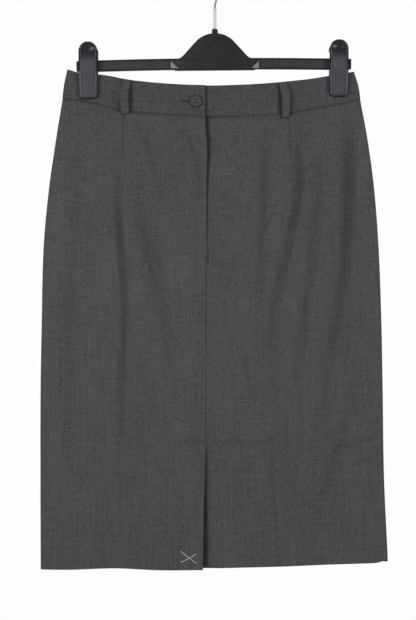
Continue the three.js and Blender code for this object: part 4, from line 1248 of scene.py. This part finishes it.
black_plastic = plastic("black_plastic", (0.0115, 0.0119, 0.0152), (0.032, 0.034, 0.04), 0.4)
bar = to_mesh(
    "hanger_bar_moulding", joined(beam, *stops, *ticks, plate, collar, *ridges),
    black_plastic, 50,
)
# Painted light on the recessed web of the bar; the flanges and other parts keep the dark colour
mark(bar, "face", 1 - smooth(np.abs(beam[0][:, 1]), WEB_HALF + 0.1, WEB_HALF + 1.2))
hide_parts("hanger_bar")

# Small facets between the plate's foot and the bar, coloured pale
GUSSET_FACETS = (
    # three corners x, z
    ((-57.9, -130.8), (-57.9, -140.0), (-47.2, -140.0)),
    ((57.6, -129.9), (48.1, -139.7), (57.9, -139.7)),
)
facet_plastic = plastic("pale_facet_plastic", (0.2, 0.2, 0.205), (0.34, 0.34, 0.35), 0.3)
facets = [slab(filleted(corners, 0.4, 3), -PLATE_HALF - 0.25, -PLATE_HALF + 0.4, 0.2, ALONG_Y)
          for corners in GUSSET_FACETS]
to_mesh("bar_gussets", joined(*facets), facet_plastic, 50)

# The hook
# Bright steel wire, bent to an open loop for the rail. Its straight stem stands in the
# collar, where it can turn, and its end is rounded.
WIRE_RADIUS, HOOK_RADIUS, SWAY_RADIUS, END_TURN, HOOK_FOOT = 1.3, 21.0, 31.0, 3.95, -104.0
SWAY_TURN = math.acos(SWAY_RADIUS / (SWAY_RADIUS + HOOK_RADIUS))
LOOP_Z = WIRE_RADIUS - HOOK_RADIUS
STEM_TOP = LOOP_Z - (SWAY_RADIUS + HOOK_RADIUS) * math.sin(SWAY_TURN)


def hook_path(count):
    """Straight up the stem, out round the sway's circle, then back over the loop's circle."""
    stem, sway, loop = STEM_TOP - HOOK_FOOT, SWAY_RADIUS * SWAY_TURN, HOOK_RADIUS * END_TURN
    run = np.linspace(0, stem + sway + loop, count)
    out = (run - stem) / SWAY_RADIUS
    over = (run - stem - sway) / HOOK_RADIUS - SWAY_TURN
    stretches = [run < stem, out < SWAY_TURN]
    x = np.select(stretches, [np.zeros(count), SWAY_RADIUS * (1 - np.cos(out))],
                  HOOK_RADIUS * np.cos(over))
    z = np.select(stretches, [HOOK_FOOT + run, STEM_TOP + SWAY_RADIUS * np.sin(out)],
                  LOOP_Z + HOOK_RADIUS * np.sin(over))
    return np.stack([x, np.zeros(count), z], axis=1)


steel = metal("hook_steel", (0.36, 0.36, 0.37), 0.32, 0.01)
hook = to_mesh("hook", tube(hook_path(220), (0, 1, 0), WIRE_RADIUS, 24), steel)
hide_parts("hanger_hook")

# The sleeve on the hook's stem
# A short tube of pale soft plastic, slid over the wire before the hook is set in its collar.
# It reaches from the collar to where the wire bends.
SLEEVE_RADIUS, SLEEVE_BORE, SLEEVE_SIDES = 2.05, WIRE_RADIUS + SEAM_GAP, 40
sleeve_foot = COLLAR_TOP + SEAM_GAP
sleeve_profile = np.array([
    # radius, z
    (SLEEVE_BORE, sleeve_foot), (SLEEVE_RADIUS - 0.15, sleeve_foot), (SLEEVE_RADIUS, sleeve_foot + 0.2),
    (SLEEVE_RADIUS, STEM_TOP - 0.2), (SLEEVE_RADIUS - 0.15, STEM_TOP), (SLEEVE_BORE, STEM_TOP),
])
sleeve_radii = np.repeat(sleeve_profile[:, :1], SLEEVE_SIDES, axis=1)
sleeve_points, (sleeve_quads, _, _) = rings_surface(about_z(sleeve_radii, sleeve_profile[:, 1]))
first = np.arange(SLEEVE_SIDES)
last = first + SLEEVE_SIDES * (len(sleeve_profile) - 1)
bore_quads = np.stack([last, first, np.roll(first, -1), np.roll(last, -1)], axis=-1)
pale_plastic = plastic("pale_plastic", (0.7, 0.705, 0.715), (0.73, 0.735, 0.745), 0.5)
sleeve = to_mesh(
    "hook_sleeve_tube", (sleeve_points, [sleeve_quads, bore_quads]), pale_plastic, 40,
)
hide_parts("hook_sleeve")

# The clips
# Each is a pair of moulded jaws with a dished thumb pad, pivoted on a steel spring that wraps
# over the bar. The cheeks of the jaws straddle the bar, so the clip can slide along it.
CLIP_TOP_Z = (-106.3, -103.4)
CLIPS = tuple(zip(("right", "left"), CLIP_X, CLIP_TOP_Z))
CLIP_HEIGHT = 74.0
# drop is below the clip's top, outer and inner the y of the front jaw's two faces
JAW = np.array([
    # drop, outer, inner
    (0, -16.0, -13.8),
    (3, -16.4, -13.4),
    (14, -12.2, -9.2),
    (24, -10.6, -7.4),
    (40, -10.2, -7.2),
    (52, -8.4, -4.6),
    (60, -7.4, -2.9),
    (73, -6.6, -2.9),
    (74, -5.6, -2.9),
])
PAD_RADIUS, FOOT_RADIUS = CLIP_WIDTH / 2, 6.2
DISH_DROP, DISH_HALF_WIDE, DISH_HALF_TALL, DISH_DEPTH = 7.6, 9.8, 6.4, 2.0
RIM_WIDE, RIM_PROUD, CHAMFER_WIDE, PANEL_FROM = 2.0, 0.7, 1.0, 17.0
# Painted light: a painted highlight along the chamfer, painted light on the panel, and the pad, in
# painted shade, as a share of that
CHAMFER_PAINTED_HIGHLIGHT, PANEL_PAINTED_LIGHT, PAD_PAINTED_LIGHT_SHARE = 1.25, 0.85, 0.15
CHEEK_THICK, CHEEK_TOP, CHEEK_FOOT, CHEEK_PLAY = 2.0, 14.0, 39.0, 0.45


def jaw_half_width(drop):
    """Half the width: a half circle at the pad, straight sides, and rounded lower corners."""
    pad = np.sqrt(np.maximum(PAD_RADIUS**2 - np.maximum(PAD_RADIUS - drop, 0) ** 2, 0))
    low = np.maximum(FOOT_RADIUS - (CLIP_HEIGHT - drop), 0)
    return pad - FOOT_RADIUS + np.sqrt(np.maximum(FOOT_RADIUS**2 - low**2, 0))


def jaw_shell(x, top, facing):
    """The plate between its outer and inner profile, and how much painted light each outer point
    gets. A rounded rim in painted shade runs all round, then a chamfer with a painted highlight,
    then a dish in the pad, kept in painted shade, and a flat panel in painted light."""
    over_pad = PAD_RADIUS * (1 - np.cos(np.linspace(0.12, math.pi / 2, 34)))
    low_turn = np.linspace(0, math.pi / 2 - 0.1, 16)
    over_foot = CLIP_HEIGHT - FOOT_RADIUS * (1 - np.sin(low_turn))
    drop = np.concatenate([over_pad, np.linspace(over_pad[-1], over_foot[0], 62)[1:-1], over_foot])
    half = jaw_half_width(drop)
    across = uneven_steps(2.0, 0.05, [(0, 0.28, 0.022), (1.72, 2.0, 0.022)]) - 1
    grid_drop = np.repeat(drop[:, None], len(across), axis=1)
    local_x = half[:, None] * across[None]
    to_side = half[:, None] - np.abs(local_x)
    to_end = np.minimum(grid_drop - drop[0], drop[-1] - grid_drop)
    to_pad = PAD_RADIUS - np.hypot(local_x, np.maximum(PAD_RADIUS - grid_drop, 0))
    edge = np.minimum(np.minimum(to_side, to_end), to_pad)
    outer = np.interp(grid_drop, JAW[:, 0], JAW[:, 1])
    inner = np.interp(grid_drop, JAW[:, 0], JAW[:, 2])
    from_dish = np.hypot(local_x / DISH_HALF_WIDE, (grid_drop - DISH_DROP) / DISH_HALF_TALL)
    outer = outer + DISH_DEPTH * (1 - smooth(from_dish, 0.15, 1.0))
    outer = outer + RIM_PROUD * (1 - smooth(edge, RIM_WIDE - 0.6, RIM_WIDE + CHAMFER_WIDE))
    round_off = np.sqrt(1 - (1 - np.clip(edge, 0, 1)) ** 2)
    middle, thick = (outer + inner) / 2, (inner - outer) / 2 * round_off
    # Painted highlight along the chamfer, painted light on the panel and painted shade over the pad
    painted_highlight = smooth(edge, RIM_WIDE - 0.2, RIM_WIDE + 0.2)
    painted_highlight = painted_highlight * (1 - smooth(edge, RIM_WIDE + 0.7, RIM_WIDE + 1.2))
    panel = smooth(edge, RIM_WIDE + CHAMFER_WIDE, RIM_WIDE + CHAMFER_WIDE + 1.4)
    below_pad = smooth(grid_drop, PANEL_FROM - 4, PANEL_FROM + 10)
    light = (CHAMFER_PAINTED_HIGHLIGHT * painted_highlight + PANEL_PAINTED_LIGHT * panel) * (PAD_PAINTED_LIGHT_SHARE + (1 - PAD_PAINTED_LIGHT_SHARE) * below_pad)
    grid = [np.stack([x + local_x, -facing * (middle + way * thick), top - grid_drop], axis=-1)
            for way in (-1, 1)]
    return shell(*grid), light.ravel()


def cheek_outline(x, top, facing):
    """The side of a jaw's cheek, which meets the other jaw's above the bar."""
    meet, face = -SEAM_GAP / 2, -BAR_HALF - SEAM_GAP
    bar_top = BAR_TOP + bar_rise(x) + SEAM_GAP + CHEEK_PLAY
    corners = np.array([
        (-11.6, top - CHEEK_TOP), (meet, top - CHEEK_TOP - 2), (meet, bar_top), (face, bar_top),
        (face, top - CHEEK_FOOT), (-9.6, top - CHEEK_FOOT),
    ])
    return filleted(corners * (-facing, 1), 0.5, 3)


# The light colour gives the panel's painted light and the chamfer's painted highlight; the rim and the
# pad keep the dark one as painted shade
clip_plastic = plastic("clip_plastic", (0.0025, 0.0027, 0.0035), (0.064, 0.069, 0.084), 0.34)
cheek_at = CLIP_WIDTH / 2 - 0.1
for side_name, x, top in CLIPS:
    for facing, facing_name in ((FRONT, "front"), (BACK, "back")):
        outline = cheek_outline(x, top, facing)
        cheeks = [slab(outline, x + low, x + low + CHEEK_THICK, 0.25, ALONG_X)
                  for low in (-cheek_at, cheek_at - CHEEK_THICK)]
        plate_part, light = jaw_shell(x, top, facing)
        jaw = to_mesh(
            f"clip_{side_name}_{facing_name}", joined(plate_part, *cheeks),
            clip_plastic, 50,
        )
        # The face attribute holds the jaw's painted light, highlight and shade
        mark(jaw, "face", light)
        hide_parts(f"clip_{side_name}_{facing_name}_jaw")

COIL_RADIUS, COIL_WIRE, COIL_DROP, COIL_TURNS = 3.3, 0.88, 17.4, 9
coil_half = CLIP_WIDTH / 2 - 0.1 - CHEEK_THICK - SEAM_GAP - COIL_WIRE
for side_name, x, top in CLIPS:
    turn = np.linspace(0, 2 * math.pi * COIL_TURNS, 28 * COIL_TURNS)
    coil = np.stack([x - coil_half + 2 * coil_half * turn / turn[-1],
                     COIL_RADIUS * np.cos(turn), top - COIL_DROP + COIL_RADIUS * np.sin(turn)], axis=1)
    spring = to_mesh(f"spring_{side_name}", tube(coil, (1, 0, 0), COIL_WIRE, 10), steel)
    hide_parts(f"clip_{side_name}_spring")

# The studio
# A plain pale floor well under the hem, soft lights from both sides, the front, above and
# behind, and a bright empty background. The camera stands level with the middle of the skirt,
# 2.4 m in front.
FLOOR_Z, FLOOR_RADIUS = -1600.0, 2100.0
floor_radii = np.repeat([[FLOOR_RADIUS / 2], [FLOOR_RADIUS]], 96, axis=1)
floor_mesh = bpy.data.meshes.new("floor")
floor_points, (floor_quads, floor_middle, _) = rings_surface(about_z(floor_radii, (FLOOR_Z, FLOOR_Z)))
floor_mesh.from_pydata((floor_points * MILLIMETRE).tolist(), [],
                       floor_quads.tolist() + floor_middle[:, ::-1].tolist())
floor_material, floor_tree, floor_shader = nodes_of("floor")
floor_tone = remap(floor_tree, noise(floor_tree, place(floor_tree), 3, 2), 0.3, 0.7)
floor_tree.links.new(tint(floor_tree, floor_tone, (0.86, 0.865, 0.865), (0.9, 0.905, 0.905)),
                     floor_shader.inputs["Base Color"])
floor_shader.inputs["Roughness"].default_value = 0.8
floor_mesh.materials.append(floor_material)
floor = bpy.data.objects.new("floor", floor_mesh)
bpy.context.scene.collection.objects.link(floor)

BACKGROUND, SURROUND = 0.985, 0.24
world = bpy.data.worlds.new("studio")
bpy.context.scene.world = world
world.use_nodes = True
world_tree = world.node_tree
seen = world_tree.nodes.new("ShaderNodeLightPath").outputs["Is Camera Ray"]
backdrop = world_tree.nodes["Background"]
world_tree.links.new(remap(world_tree, seen, 0, 1, SURROUND, BACKGROUND), backdrop.inputs["Strength"])
backdrop.inputs["Color"].default_value = (1, 1, 1, 1)

LIGHTS = (
    # name, place, aimed at, width, power
    ("left", (-930, -850, -370), (0, 0, -430), 500, 7.1),
    ("right", (930, -850, -370), (0, 0, -430), 500, 6.8),
    ("front", (-900, -2200, 250), (0, 0, -400), 450, 4.4),
    ("top", (0, -1000, 1300), (0, 0, -130), 1200, 4.5),
    ("behind", (-900, 2300, 400), (0, 0, -450), 1400, 30),
)
for name, at, aim, width, power in LIGHTS:
    light = bpy.data.lights.new(name, "AREA")
    light.shape = "DISK"
    light.size = width * MILLIMETRE
    light.energy = power
    lamp = bpy.data.objects.new(name, light)
    place_at, towards = np.array(at) * MILLIMETRE, np.array(aim) * MILLIMETRE
    lamp.location = place_at
    lamp.rotation_euler = Vector(towards - place_at).to_track_quat("-Z", "Y").to_euler()
    bpy.context.scene.collection.objects.link(lamp)

CAMERA_AT = (-8.914, -2420.0, -456.301)
FRAME_TALL, SUBJECT_AWAY, SENSOR = 806.0, 2400.0, 36.0
camera = bpy.data.cameras.new("camera")
camera.sensor_width = SENSOR
camera.lens = SENSOR * SUBJECT_AWAY / FRAME_TALL
camera.clip_start = 0.05
camera_object = bpy.data.objects.new("camera", camera)
camera_object.location = np.array(CAMERA_AT) * MILLIMETRE
camera_object.rotation_euler = (math.pi / 2, 0, 0)
bpy.context.scene.collection.objects.link(camera_object)
bpy.context.scene.camera = camera_object
bpy.context.scene.view_settings.view_transform = "Standard"
